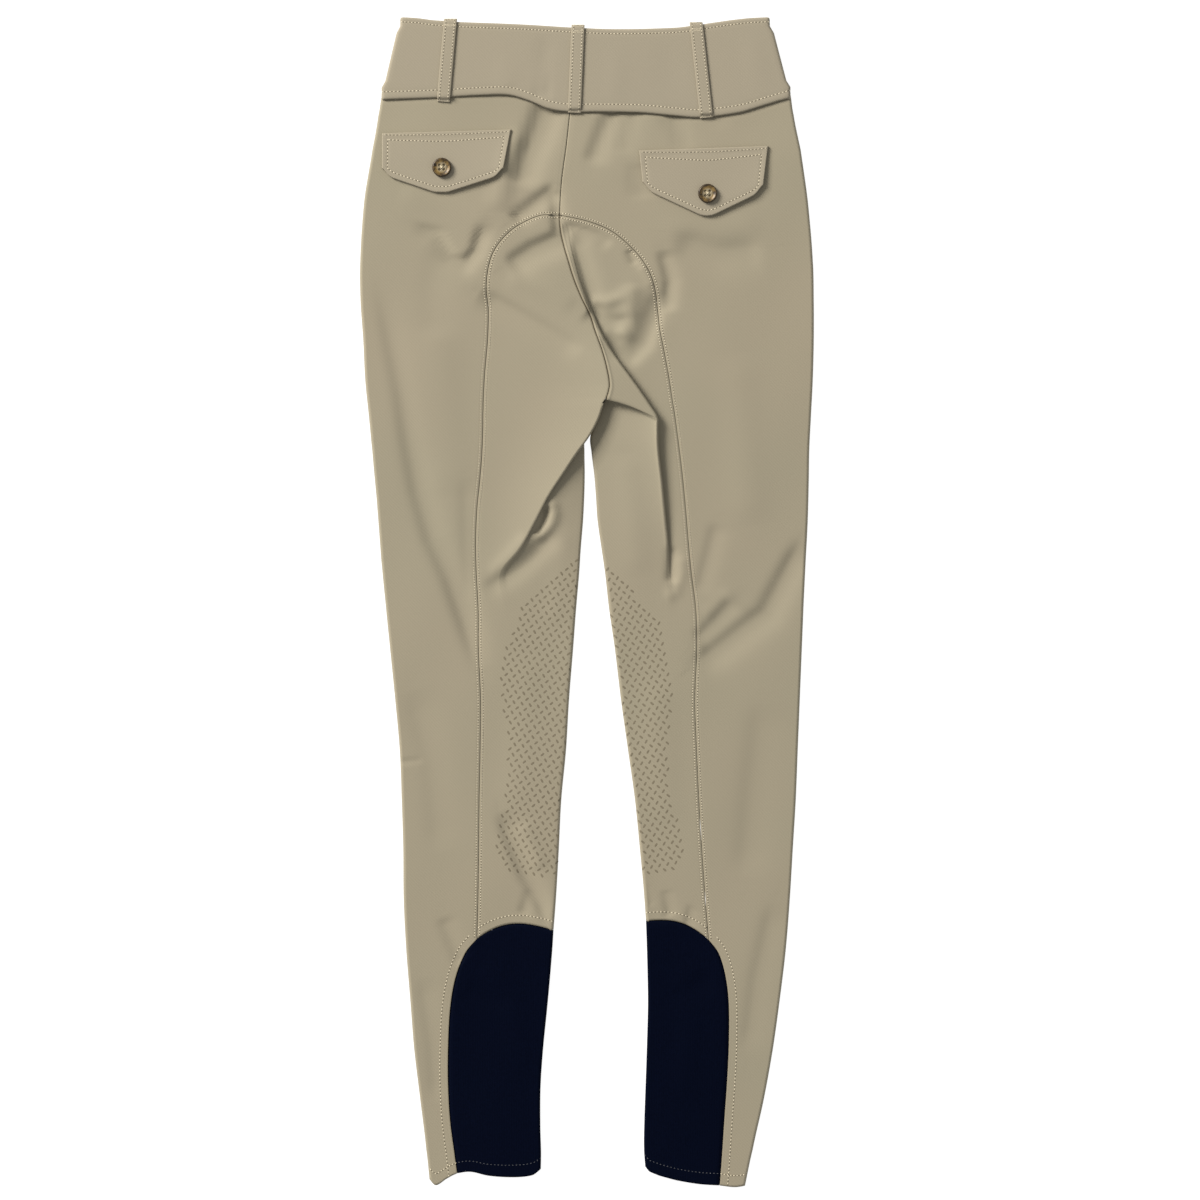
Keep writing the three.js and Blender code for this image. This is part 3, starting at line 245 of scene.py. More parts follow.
# Creases of the back as the cloth fell: path in plan, half width, height (negative for a trough),
# share of the height at the path's first and last point, and lean, which makes the side on the
# right of the path (looking along it) wider and the other side steeper.
CREASE_SOFTNESS = 1.15  # all half widths are multiplied by this
CREASE_DEPTH = 1.25     # and all heights by this
CREASE_LIMIT = 3.7      # no trough is deeper than this
CREASES = [
    ([(-32, 404), (-40, 380), (-49, 360), (-58, 334)], 9.5, -5.4, 1.0, 0.9, -0.4),
    ([(-54, 380), (-62, 350), (-74, 312)], 8.0, 1.8, 0.8, 0.6, 0.0),
    ([(-26, 332), (-42, 320), (-60, 306)], 6.5, -3.0, 1.0, 0.7, -0.3),
    ([(-28, 330), (-25, 314), (-23, 294)], 5.5, -2.0, 0.8, 1.0, -0.2),
    ([(-12, 296), (-28, 290), (-44, 283), (-64, 270)], 9.0, -4.0, 1.0, 0.6, -0.4),
    ([(-138, 303), (-119, 296), (-108, 277), (-98, 272), (-90, 282), (-83, 304)], 6.0, -2.8, 0.5, 0.9, 0.45),
    ([(-118, 284), (-124, 250), (-122, 210)], 14.0, -0.8, 0.8, 0.4, -0.25),
    ([(-168, 262), (-158, 215), (-149, 170), (-143, 130), (-135, 88), (-124, 50), (-110, 20),
      (-98, -14), (-86, -54)], 9.5, -3.0, 0.2, 1.0, -0.3),
    ([(-97, 100), (-96, 40), (-94, 0)], 8.0, -0.8, 0.6, 0.6, -0.25),
    ([(-86, 248), (-60, 234), (-34, 219), (-4, 200)], 8.0, -2.4, 1.0, 0.6, 0.3),
    ([(-64, 262), (-30, 250), (-10, 236)], 9.0, 0.9, 0.6, 0.6, 0.0),
    ([(23, 402), (12, 376), (2, 350)], 7.5, -2.4, 1.0, 0.7, -0.3),
    ([(65, 400), (71, 380), (76, 360)], 6.0, -1.8, 1.0, 0.4, -0.3),
    ([(37, 400), (32, 380), (27, 358)], 7.0, -1.6, 1.0, 0.4, -0.3),
    ([(101, 390), (106, 378)], 4.0, -0.9, 1.0, 0.2, -0.3),
    ([(-20, 302), (-6, 299), (8, 294), (20, 286)], 5.5, -1.6, 1.0, 0.6, 0.3),
    ([(-11, 296), (-6, 276), (0, 254), (5, 234), (9, 222)], 6.0, -3.4, 0.6, 1.0, -0.45),
    ([(2, 242), (16, 240), (32, 246)], 5.0, 1.5, 1.0, 0.7, 0.0),
    ([(2, 236), (12, 227), (24, 224), (36, 228)], 7.5, -3.0, 1.0, 0.7, 0.3),
    ([(36, 256), (34, 232), (27, 210)], 7.0, 2.0, 0.7, 1.0, 0.0),
    ([(60, 250), (52, 226), (45, 208), (35, 198), (25, 202), (14, 216)], 7.5, -3.8, 0.7, 1.0, 0.1),
    ([(60, 282), (66, 258), (64, 232)], 5.5, -2.2, 0.8, 0.9, -0.2),
    ([(33, 282), (38, 270)], 3.6, -1.5, 0.8, 0.8, -0.25),
    ([(43, 270), (53, 253)], 4.0, 1.0, 0.8, 0.8, 0.0),
    ([(72, 292), (106, 280), (140, 284)], 13.0, -2.0, 0.8, 0.6, 0.3),
    ([(41, 352), (38, 336), (44, 322)], 6.0, -1.1, 0.6, 1.0, -0.3),
    ([(67, 46), (67, 30), (66.5, 15)], 5.0, -1.8, 0.5, 1.0, -0.2),
    ([(75, 38), (76, 24), (71, 9), (62, 2)], 5.5, 0.9, 0.8, 0.7, 0.0),
    ([(173, 50), (157, 20), (142, -8), (124, -21), (104, -37), (86, -50)], 10.0, -3.0, 0.7, 0.9, -0.35),
    ([(117, 2), (100, -18), (87, -31)], 8.0, -1.8, 0.8, 0.8, -0.3),
    ([(117, 10), (104, -3), (93, -12)], 7.0, 0.7, 0.8, 0.6, 0.0),
    ([(104, 64), (97, 36), (89, 6)], 7.0, -1.1, 0.8, 0.6, -0.25),
    ([(-70, -168), (-48, -222), (-28, -262)], 8.0, -2.6, 0.6, 1.0, -0.3),
    ([(-52, -176), (-36, -214)], 7.0, 1.1, 0.5, 0.7, 0.0),
    ([(44, -226), (49, -246)], 3.5, -1.2, 0.6, 1.0, -0.25),
    ([(62, -232), (66, -258)], 5.0, -1.0, 0.4, 1.0, -0.25),
    ([(84, -246), (80, -266)], 5.0, -0.9, 0.4, 1.0, -0.3),
    ([(-46, -232), (-52, -258)], 5.0, -0.9, 0.4, 1.0, -0.25),
    ([(-116, -252), (-108, -272), (-100, -290)], 7.0, -1.2, 0.6, 0.9, -0.2),
    ([(-151, -128), (-142, -127), (-132, -126)], 2.4, -0.6, 1.0, 0.5, 0.0),
    ([(-26, 58), (-36, 46), (-47, 35), (-60, 24), (-73, 15), (-84, 9)], 7.5, -3.0, 0.9, 0.3, -0.2),
    ([(-46, 54), (-61, 38), (-78, 21)], 6.0, 1.0, 1.0, 0.4, 0.0),
    ([(-14, 60), (-20, 20), (-26, -20)], 9.0, 0.9, 0.5, 0.5, 0.0),
    ([(30, 120), (36, 70), (40, 20)], 12.0, 1.0, 0.6, 0.4, 0.0),
    ([(-120, 226), (-112, 150), (-108, 84)], 16.0, 1.0, 0.5, 0.5, 0.0),
    ([(-140, -70), (-124, -130), (-118, -200)], 13.0, -1.2, 0.6, 0.5, -0.25),
    ([(-46, -40), (-52, -110), (-58, -170)], 15.0, 0.8, 0.5, 0.6, 0.0),
    ([(120, 200), (126, 120), (130, 60)], 16.0, 1.1, 0.5, 0.6, 0.0),
    ([(140, -80), (132, -150), (126, -220)], 14.0, -1.3, 0.5, 0.6, -0.3),
    ([(56, -60), (60, -120), (64, -180)], 13.0, 0.8, 0.6, 0.5, 0.0),
    ([(150, -240), (136, -300), (128, -360)], 10.0, -1.3, 0.6, 0.5, -0.3),
    ([(-132, -300), (-124, -350), (-120, -400)], 9.0, -1.1, 0.6, 0.6, -0.25),
    ([(-98, -310), (-62, -324)], 8.0, -1.0, 0.5, 0.6, -0.25),
    ([(-80, -290), (-56, -330), (-50, -380)], 10.0, 1.0, 0.6, 0.5, 0.0),
    ([(102, -300), (70, -316)], 8.0, -1.0, 0.6, 0.5, -0.25),
    ([(76, -290), (82, -340), (74, -400)], 10.0, 1.0, 0.6, 0.5, 0.0),
    ([(-150, 330), (-110, 318), (-76, 300)], 12.0, 1.0, 0.5, 0.6, 0.0),
    ([(60, 300), (100, 296), (140, 306)], 12.0, 0.9, 0.5, 0.5, 0.0),
]


def smooth(values, at):
    """Catmull-Rom curve through evenly numbered values, at fractional numbers."""
    i = np.clip(np.floor(at).astype(int), 0, len(values) - 2)
    f = at - i
    ends = [2 * values[0] - values[1]], values, [2 * values[-1] - values[-2]]
    a, b, c, d = (np.concatenate(ends)[i + k] for k in range(4))
    return b + 0.5 * f * (c - a + f * (2 * a - 5 * b + 4 * c - d + f * (3 * (b - c) + d - a)))


def look_up(rows, key, name, at):
    """Column `name` where column `key`, which only rises or only falls, has the value `at`."""
    way = 1 if rows[key][-1] > rows[key][0] else -1
    number = np.interp(way * np.asarray(at, float), way * rows[key], np.arange(len(rows[key])))
    return smooth(rows[name], number)


def mix(a, b, f):
    """From a to b by the share f."""
    return a + (b - a) * f


def ease(f):
    """Smooth step from 0 to 1."""
    g = np.clip(f, 0, 1)
    return g * g * (3 - 2 * g)


def bell(distance, half_width):
    """1 at no distance, falling to about a fifth at the half width."""
    return np.exp(-1.5 * (distance / half_width) ** 2)


def path_distance(path, x, y):
    """Signed distance in plan to a path of straight pieces (positive on its right, looking along it), and
    the share of the path's length at its nearest point."""
    path = np.array(path, float)
    length = np.hypot(*np.diff(path, axis=0).T)
    nearest = np.full(x.shape, np.inf)
    signed, share = np.zeros(x.shape), np.zeros(x.shape)
    for (ax, ay), (bx, by), size, before in zip(path, path[1:], length, np.cumsum(length) - length):
        f = np.clip(((x - ax) * (bx - ax) + (y - ay) * (by - ay)) / size**2, 0, 1)
        away_x, away_y = x - mix(ax, bx, f), y - mix(ay, by, f)
        distance = np.hypot(away_x, away_y)
        side = np.sign((by - ay) * away_x - (bx - ax) * away_y)
        closer = distance < nearest
        nearest = np.where(closer, distance, nearest)
        signed = np.where(closer, side * distance, signed)
        share = np.where(closer, (before + f * size) / length.sum(), share)
    return signed, share


def crease_sum(creases, x, y):
    """Sum over creases of height times a bell of the distance to the path, wider on one side by the lean,
    tapered at both ends."""
    rise = np.zeros(np.shape(x))
    for path, half_width, height, first, last, lean in creases:
        signed, share = path_distance(path, x, y)
        width = CREASE_SOFTNESS * half_width * (1 + lean * np.sign(signed))
        taper = ease((share + 0.04) / 0.2) * ease((1.04 - share) / 0.2)
        rise = rise + height * mix(first, last, share) * taper * bell(signed, width)
    return rise


def crease_height(x, y):
    """The creases of the back over a slow swell of the whole cloth (three crossing sine waves). Where several
    troughs meet, a hyperbolic tangent keeps the sum above the front panel."""
    swell = 0.22 * np.sin(x / 23 + y / 61) + 0.18 * np.sin(y / 37 - x / 55) + 0.12 * np.sin(x / 12 - y / 29)
    rise = swell + CREASE_DEPTH * crease_sum(CREASES, x, y)
    return np.where(rise < 0, CREASE_LIMIT * np.tanh(rise / CREASE_LIMIT), rise)


def loft(y):
    """Upper face of the back away from the folds: from the waist up to the seat, then down to the hem."""
    return mix(mix(LOFT[0], LOFT[1], ease((400 - y) / 50)), LOFT[2], ease((120 - y) / 580))


def bend(side, x, y):
    """Moves points of the straight rows near the waist and the hem onto the curved waist seam and hem."""
    middle = int(np.argmin(np.abs(WAIST_SEAM["x"] - CENTRE_BACK["x"][0])))
    ends = (0, middle) if side == "left" else (middle, -1)
    hem = HEM[side]

    def above(rows, first, last):
        chord_x, chord_y = rows["x"][[first, last]], rows["y"][[first, last]]
        return look_up(rows, "x", "y", np.clip(x, *chord_x)) - np.interp(x, chord_x, chord_y)

    near_waist = ease((y - WAIST_SEAM["y"][middle] + BLEND) / BLEND)
    near_hem = ease((hem["y"][0] + 1.5 * BLEND - y) / BLEND - 0.5)
    return y + near_waist * above(WAIST_SEAM, *ends) + near_hem * above(hem, 0, -1)


def upper(side, x, y):
    """Height of the back at x and straight-row y: loft and creases, sunk a little along the waist seam."""
    real_y = bend(side, x, y)
    to_waist = look_up(WAIST_SEAM, "x", "y", np.clip(x, *WAIST_SEAM["x"][[0, -1]])) - real_y
    return loft(y) + crease_height(x, real_y) - 0.8 * bell(np.maximum(to_waist, 0), 3.5)


def dense(rows, *edges):
    """Fractional row numbers down a table, at most one row step apart along each of the named edges."""
    lengths = [np.linalg.norm([np.diff(rows[name]) for name in edge.split()], axis=0) for edge in edges]
    steps = np.maximum(1, np.ceil(np.max(lengths, 0) / ROW_STEP)).astype(int)
    return np.concatenate([i + np.arange(n) / n for i, n in enumerate(steps)] + [[float(len(steps))]])


def evaluated(rows, at):
    """Every column of a table at fractional row numbers."""
    return {name: smooth(column, at) for name, column in rows.items()}


def beside(points, distance):
    """Points moved in plan to the left of the direction of their path."""
    along = np.gradient(points, axis=0)
    along /= np.hypot(*along.T)[:, None]
    return points + distance * np.stack([-along[:, 1], along[:, 0]], -1)


FOLD_STEPS = 12         # rows of the step where the seat's fold hangs over the right leg


def half_of(side):
    """All rows of one half from the waist to the hem: numbers of its parts, and for each row the outline
    point, the seam point on either side of the gap, and the direction across from outline to seam."""
    left = side == "left"
    seat_rows, leg_rows, calf_rows = ((SEAT_LEFT, LEG_LEFT, CALF_LEFT) if left
                                      else (SEAT_RIGHT, LEG_RIGHT, CALF_RIGHT))
    top = evaluated(WAIST_TOP, dense(WAIST_TOP, "seam_y"))
    top = {"out": top["out_left" if left else "out_right"], "seam_y": top["seam_y"],
           "seam_x": look_up(CENTRE_BACK, "y", "x", top["seam_y"])}
    seat = evaluated(seat_rows, dense(seat_rows, "out", "seam_x seam_y", "back_y"))
    leg = evaluated(leg_rows, dense(leg_rows, "out", "seam_y"))
    calf = evaluated(calf_rows, dense(calf_rows, "out", "seam_x seam_y"))
    # The fold runs out into the plain cloth over 60 mm below the knee's top.
    run_out = ease((34 - leg["lip_y"]) / 60)
    for name in ("lip_z", "foot_z"):
        leg[name] = mix(leg[name], loft(leg["lip_y"]), run_out)
    step = np.arange(1, FOLD_STEPS) / FOLD_STEPS
    between = {name: mix(seat[name][-1], leg[name][0], step) for name in ("out", "seam_x", "seam_y")}
    parts = [{name: column[:-1] for name, column in top.items()}, seat, between,
             {name: column[:-1] for name, column in leg.items()}, calf]
    joined = {name: np.concatenate([part[name] for part in parts]) for name in ("out", "seam_x", "seam_y")}
    counts = np.cumsum([0] + [len(part["out"]) for part in parts])
    seam = np.stack([joined["seam_x"], joined["seam_y"]], -1)
    way = -1 if left else 1
    outside, inside = beside(seam, way * SEAM_GAP / 2), beside(seam, -way * SEAM_GAP / 2)
    edge = np.stack([look_up(OUTLINE[side], "y", "x", joined["out"]), joined["out"]], -1)
    inward = outside - edge
    inward /= np.hypot(*inward.T)[:, None]
    return {"side": side, "way": way, "edge": edge, "inward": inward, "seam": seam, "outside": outside,
            "inside": inside, "seat_rows": seat, "leg_rows": leg, "calf_rows": calf,
            "top": slice(counts[0], counts[1]), "seat": slice(counts[1], counts[2]),
            "leg": slice(counts[3], counts[4] + 1), "calf": slice(counts[4], counts[5])}


HALVES = {side: half_of(side) for side in ("left", "right")}


def spread(count, tight=0.13):
    """Shares from 0 to 1, closer together near both ends (a line less a small sine)."""
    t = np.linspace(0, 1, count + 1)
    return t - tight * np.sin(2 * np.pi * t)


def seam_dip(distance, row=None):
    """Depth of the cloth near a seam: it rolls down into the seam (a steep bell), and a shallow channel runs
    under the row of stitches beside it (a low bell)."""
    dip = 0.35 * np.exp(-((distance / 0.65) ** 2))
    return dip if row is None else dip + 0.12 * np.exp(-(((distance - row) / 0.6) ** 2))


def fold_under(edge, inward, radius, high, reach, steps=10, under_steps=4):
    """Soft fold at the outline: a half ellipse from the upper face down to the underside, then flat below
    it to `reach` from the outline. One row of points for each outline point."""
    radius, reach = np.asarray(radius)[:, None], np.asarray(reach)[:, None]
    angle = np.pi * (0.5 - np.arange(steps + 1) / steps)
    inset = radius * (1 - np.cos(angle))
    height = mix(UNDERSIDE, high[:, None], (1 + np.sin(angle)) / 2)
    under = mix(radius, reach, np.arange(1, under_steps + 1) / under_steps)
    inset = np.concatenate([inset, under], 1)
    height = np.concatenate([height, np.full(under.shape, UNDERSIDE)], 1)
    plan = edge[:, None] + inward[:, None] * inset[..., None]
    return np.concatenate([plan, height[..., None]], -1)


def grid_faces(rows, columns, start=0, closed=False):
    """Corner numbers of the four-sided faces of a grid of points, closed round its columns or not."""
    r, c = np.meshgrid(np.arange(rows - 1), np.arange(columns - (not closed)), indexing="ij")
    a, b = start + r * columns + c, start + r * columns + (c + 1) % columns
    return np.stack([a, b, b + columns, a + columns], -1).reshape(-1, 4)


WELD = 2e-6             # metres between points that are one


def make_piece(name, points, faces, materials, attributes=None, parts=None):
    """A smooth-shaded object at the origin from points in mm; points that coincide are welded."""
    mesh = bpy.data.meshes.new(name)
    mesh.from_pydata(np.asarray(points, float) * MM, [], [tuple(face) for face in faces])
    for key, values in (attributes or {}).items():
        mesh.attributes.new(key, "FLOAT", "POINT").data.foreach_set("value", np.asarray(values, np.float32))
    for finish in materials:
        mesh.materials.append(finish)
    if parts is not None:
        mesh.polygons.foreach_set("material_index", np.asarray(parts, np.int32))
    shape = bmesh.new()
    shape.from_mesh(mesh)
    bmesh.ops.remove_doubles(shape, verts=shape.verts, dist=WELD)
    shape.to_mesh(mesh)
    shape.free()
    mesh.shade_smooth()
    piece = bpy.data.objects.new(name, mesh)
    bpy.context.scene.collection.objects.link(piece)
    return piece


def outward(piece):
    """Turns the faces of a closed piece to the outside."""
    shape = bmesh.new()
    shape.from_mesh(piece.data)
    bmesh.ops.recalc_face_normals(shape, faces=shape.faces)
    shape.to_mesh(piece.data)
    shape.free()
    return piece


def cloth_piece(name, grids, shades, finish, wall=CLOTH, faces_up=True):
    """One layer of cloth from welded grids, its faces turned to the outside and the wall added inwards.
    `shades` gives for each grid how near a seam each point is, from 0 to 1: the share of painted seam shade
    in its colour."""
    points = np.concatenate([grid.reshape(-1, 3) for grid in grids])
    starts = np.cumsum([0] + [grid.shape[0] * grid.shape[1] for grid in grids])
    faces = np.concatenate([grid_faces(*grid.shape[:2], start) for grid, start in zip(grids, starts)])
    a, b, c = (points[faces[:, k]] for k in (0, 1, 2))
    upper_half = len(grid_faces(*grids[0].shape[:2])) // 2
    if (np.cross(b - a, c - a)[:upper_half, 2].sum() > 0) != faces_up:
        faces = faces[:, ::-1]
    shade = np.concatenate([np.broadcast_to(near, grid.shape[:2]).ravel()
                            for near, grid in zip(shades, grids)])
    piece = make_piece(name, points, faces, [finish], {"seam": shade})
    solidify = piece.modifiers.new("wall", "SOLIDIFY")
    solidify.thickness = wall * MM
    solidify.offset = -1
    return piece


# Stretch woven twill of nylon and elastane, dyed khaki: matt, with a faint diagonal line, a soft
# bloom at grazing angles, and slightly warmer and cooler patches where it was pressed.
def woven_khaki(name, base, warm, cool):
    finish, tree = new_material(name)
    place = add_node(tree, "ShaderNodeTexCoord").outputs["Object"]
    drift = add_node(tree, "ShaderNodeTexNoise", {"Vector": place, "Scale": 7.0, "Detail": 2.0})
    tone = add_node(tree, "ShaderNodeMix", {"Factor": drift.outputs["Fac"], "A": linear(warm),
                                            "B": linear(cool)}, data_type="RGBA")
    body = add_node(tree, "ShaderNodeMix", {"Factor": 0.5, "A": linear(base), "B": tone.outputs["Result"]},
                    data_type="RGBA")
    # The twill line is 0.4 mm apart on the real cloth and is drawn at 1.3 mm, so that it shows.
    twill = add_node(tree, "ShaderNodeTexWave", {"Vector": place, "Scale": 240.0, "Distortion": 1.2,
                                                 "Detail": 1.0, "Detail Scale": 2.0},
                     wave_type="BANDS", bands_direction="DIAGONAL")
    yarn = add_node(tree, "ShaderNodeTexNoise", {"Vector": place, "Scale": 900.0, "Detail": 2.0})
    grain = add_node(tree, "ShaderNodeMath", {0: twill.outputs["Fac"], 1: yarn.outputs["Fac"]},
                     operation="ADD")
    lighter = add_node(tree, "ShaderNodeMapRange", {"Value": grain.outputs["Value"], "From Min": 0.4,
                                                    "From Max": 1.6, "To Min": 0.965, "To Max": 1.035})
    shown = add_node(tree, "ShaderNodeVectorMath", {0: body.outputs["Result"],
                                                    "Scale": lighter.outputs["Result"]}, operation="SCALE")
    # Painted shade: the 'seam' attribute mixes the colour towards dark brown along the seams. It stands for
    # the shade in the seam's hollow and the gap between pieces, over the seam's own darker line.
    seam = add_node(tree, "ShaderNodeAttribute", attribute_name="seam")
    seam_painted_shade = add_node(tree, "ShaderNodeMix", {"Factor": seam.outputs["Fac"], "A": shown.outputs["Vector"],
                                            "B": linear("#5d5340")}, data_type="RGBA")
    bump = add_node(tree, "ShaderNodeBump", {"Height": grain.outputs["Value"], "Strength": 0.35,
                                             "Distance": 0.00012})
    surface = add_node(tree, "ShaderNodeBsdfPrincipled", {
        "Base Color": seam_painted_shade.outputs["Result"], "Normal": bump.outputs["Normal"], "Roughness": 0.82,
        "Specular IOR Level": 0.3, "Sheen Weight": 0.08, "Sheen Roughness": 0.45,
        "Sheen Tint": linear("#f2ead8")})
    add_node(tree, "ShaderNodeOutputMaterial", {"Surface": surface.outputs["BSDF"]})
    return finish


body_twill = woven_khaki("khaki_stretch_twill", "#8b8471", "#928674", "#85826f")


# Spun polyester sewing thread: a mottled strand with a slight gloss on each stitch.
def spun_thread(name, colour, roughness=0.6):
    finish, tree = new_material(name)
    place = add_node(tree, "ShaderNodeTexCoord").outputs["Object"]
    twist = add_node(tree, "ShaderNodeTexNoise", {"Vector": place, "Scale": 700.0, "Detail": 1.0})
    level = add_node(tree, "ShaderNodeMapRange", {"Value": twist.outputs["Fac"], "To Min": 0.82,
                                                  "To Max": 1.16})
    tone = add_node(tree, "ShaderNodeHueSaturation", {"Color": linear(colour),
                                                      "Value": level.outputs["Result"]})
    surface = add_node(tree, "ShaderNodeBsdfPrincipled", {"Base Color": tone.outputs["Color"],
                                                          "Roughness": roughness, "Sheen Weight": 0.1})
    add_node(tree, "ShaderNodeOutputMaterial", {"Surface": surface.outputs["BSDF"]})
    return finish


khaki_thread = spun_thread("khaki_polyester_thread", "#d2c8af")
# Dark marks between two stitches: painted shadow of the dimple that the needle draws into the cloth at each
# hole.
painted_hole_shadow = spun_thread("needle_hole_shadow", "#4d4432", 0.95)

# One stitch: a low lozenge with a raised middle, its corners as shares along, across and above.
STITCH_CORNERS = np.array([(-0.5, 0, 0), (0, -0.5, 0), (0.5, 0, 0), (0, 0.5, 0), (-0.22, 0, 1), (0.22, 0, 1),
                           (0, 0, -0.6)])
STITCH_FACES = [(0, 1, 4), (1, 5, 4), (1, 2, 5), (2, 3, 5), (3, 4, 5), (3, 0, 4), (0, 6, 1), (1, 6, 2),
                (2, 6, 3), (3, 6, 0)]


def surface_of(piece):
    """Search tree of a piece's outer surface."""
    shape = bmesh.new()
    shape.from_mesh(piece.data)
    tree = BVHTree.FromBMesh(shape)
    shape.free()
    return tree


def laid_on(surface, spots, from_below=False):
    """The points where plumb lines through places in plan first meet a surface from above or below, with the
    normals there, and which lines meet it at all."""
    way = -1.0 if from_below else 1.0
    hits = [surface.ray_cast(Vector((x * MM, y * MM, way)), Vector((0, 0, -way)))[:2] for x, y in spots]
    met = np.array([hit[0] is not None for hit in hits], bool)
    points = np.array([hit[0] for hit in hits if hit[0] is not None], float).reshape(-1, 3) / MM
    normals = np.array([hit[1] for hit in hits if hit[0] is not None], float).reshape(-1, 3)
    normals *= np.where(normals[:, 2:] * way < 0, -1, 1)
    return points, normals, met


def unit(vectors):
    """Each vector over its length."""
    return vectors / np.maximum(np.linalg.norm(vectors, axis=-1, keepdims=True), 1e-9)


def copies(corners, faces, centres, normals, headings, size):
    """One small shape at each centre, turned to its heading in plan and to the surface's normal. `corners`
    are shares of size = (along, across, above)."""
    headings = np.concatenate([headings, np.zeros((len(headings), 1))], 1)
    along = unit(headings - normals * np.sum(headings * normals, 1)[:, None])
    across = np.cross(normals, along)
    local = corners * size
    points = (centres[:, None] + along[:, None] * local[None, :, :1] + across[:, None] * local[None, :, 1:2]
              + normals[:, None] * local[None, :, 2:])
    numbers = np.array(faces)[None] + len(corners) * np.arange(len(centres))[:, None, None]
    return points.reshape(-1, 3), numbers.reshape(-1, len(faces[0]))


def sew(name, surface, rows, threads):
    """Stitches along paths in plan, laid on a surface, in one mesh. Each row: path, pitch, (along, across,
    above) of a stitch, number of the thread, shift of the first stitch in pitches, and whether it is laid on
    from below."""
    points, faces, parts, start = [], [], [], 0
    for path, pitch, size, part, shift, from_below in rows:
        length = np.concatenate([[0], np.cumsum(np.hypot(*np.diff(path, axis=0).T))])
        at = np.arange(shift * pitch, length[-1], pitch)
        spots = np.stack([np.interp(at, length, path[:, k]) for k in (0, 1)], -1)
        ahead = np.stack([np.interp(at + 0.5, length, path[:, k]) - np.interp(at - 0.5, length, path[:, k])
                          for k in (0, 1)], -1)
        centres, normals, met = laid_on(surface, spots, from_below)
        corner, face = copies(STITCH_CORNERS, STITCH_FACES, centres, normals, ahead[met], size)
        points.append(corner)
        faces.append(face + start)
        parts.append(np.full(len(face), part))
        start += len(corner)
    piece = make_piece(name, np.concatenate(points), np.concatenate(faces), threads,
                       parts=np.concatenate(parts))
    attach(piece, "root")


def lockstitch(path, pitch=2.9, width=0.85, from_below=False):
    """A row of light stitches with a dark mark between each two: painted shadow of the needle hole."""
    return [(path, pitch, (0.7 * pitch, width, 0.3), 0, 0.5, from_below),
            (path, pitch, (0.42 * pitch, 1.25 * width, 0.2), 1, 1.0, from_below)]


def bent(side, path):
    """A path of the straight rows, moved to where the curved waist seam and hem put it."""
    return np.stack([path[:, 0], bend(side, *path.T)], -1)


SEAM_STITCH = 2.0       # rows of stitches on either side of the seat seam
SEAM_PITCH = 2.2
ARCH_STITCH = 6.4       # row above and beside the knitted calf panel
HEM_STITCH = 9.0        # row above the hem
BACK_COLUMNS = 46


def above_hem(side, ends):
    """The row of stitches above the hem, at 50 places between two values of x: the hem's chord, moved up and
    bent as the hem is."""
    x = np.linspace(*ends, 50)
    chord = np.interp(x, HEM[side]["x"][[0, -1]], HEM[side]["y"][[0, -1]])
    return bent(side, np.stack([x, chord + HEM_STITCH], -1))


def back_face(half, f):
    """Upper face of a back panel: for each row a straight line in plan from the seam to the outline, and as
    high as the folds of the back make it, rolled down into the seam."""
    start = half["outside"][:, None]
    across = (half["edge"] + half["inward"] * EDGE_RADIUS)[:, None] - start
    plan = start + across * f[None, :, None]
    distance = np.linalg.norm(across, axis=-1) * f
    height = upper(half["side"], plan[..., 0], plan[..., 1])
    rolled = np.concatenate([np.ones(half["calf"].start), np.full(len(distance) - half["calf"].start, 0.35)])
    return np.concatenate([plan, (height - rolled[:, None] * seam_dip(distance, SEAM_STITCH))[..., None]], -1)


for side, half in HALVES.items():
    count = len(half["edge"])
    shares = spread(BACK_COLUMNS)
    turned = half["edge"] + half["inward"] * EDGE_RADIUS
    roll = fold_under(half["edge"], half["inward"], np.full(count, EDGE_RADIUS), upper(side, *turned.T),
                      np.full(count, SIDE_SEAM_INSET))
    width = np.linalg.norm(half["edge"] - half["outside"], axis=1)[:, None]
    grid = np.concatenate([back_face(half, shares)[:, :-1], roll], 1)
    grid[..., 1] = bend(side, grid[..., 0], grid[..., 1])
    # Share of painted seam shade: faint, along the seat seam.
    near_seam = np.zeros(grid.shape[:2])
    near_seam[:, : BACK_COLUMNS + 1] = 0.08 * np.exp(-((width * shares / 0.6) ** 2))
    back = cloth_piece(f"back_{side}", [grid], [near_seam], body_twill)
    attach(back, "root")
    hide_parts(f"back_{side}")
    along_seat = slice(half["seat"].start, half["leg"].stop)
    beside_seat = bent(side, beside(half["seam"], half["way"] * SEAM_STITCH)[along_seat])
    beside_calf = bent(side, beside(half["seam"], half["way"] * ARCH_STITCH)[half["calf"]])
    hem_row = above_hem(side, (half["seam"][-1, 0], half["edge"][-1, 0]))
    sew(f"stitching_back_{side}", surface_of(back),
        [*lockstitch(beside_seat, SEAM_PITCH), *lockstitch(beside_calf), *lockstitch(hem_row, 2.6)],
        [khaki_thread, painted_hole_shadow])

# Full-seat panels, left and right: the same stretch twill in one piece from the arched seam over the
# seat, down the inner leg and round its edge. Where the legs meet it is folded: a crisp lip on the
# left, and on the right a pointed fold that hangs over the thigh and ends in a long ridge.
LIP = 2.0               # half width of a fold's rounded lip
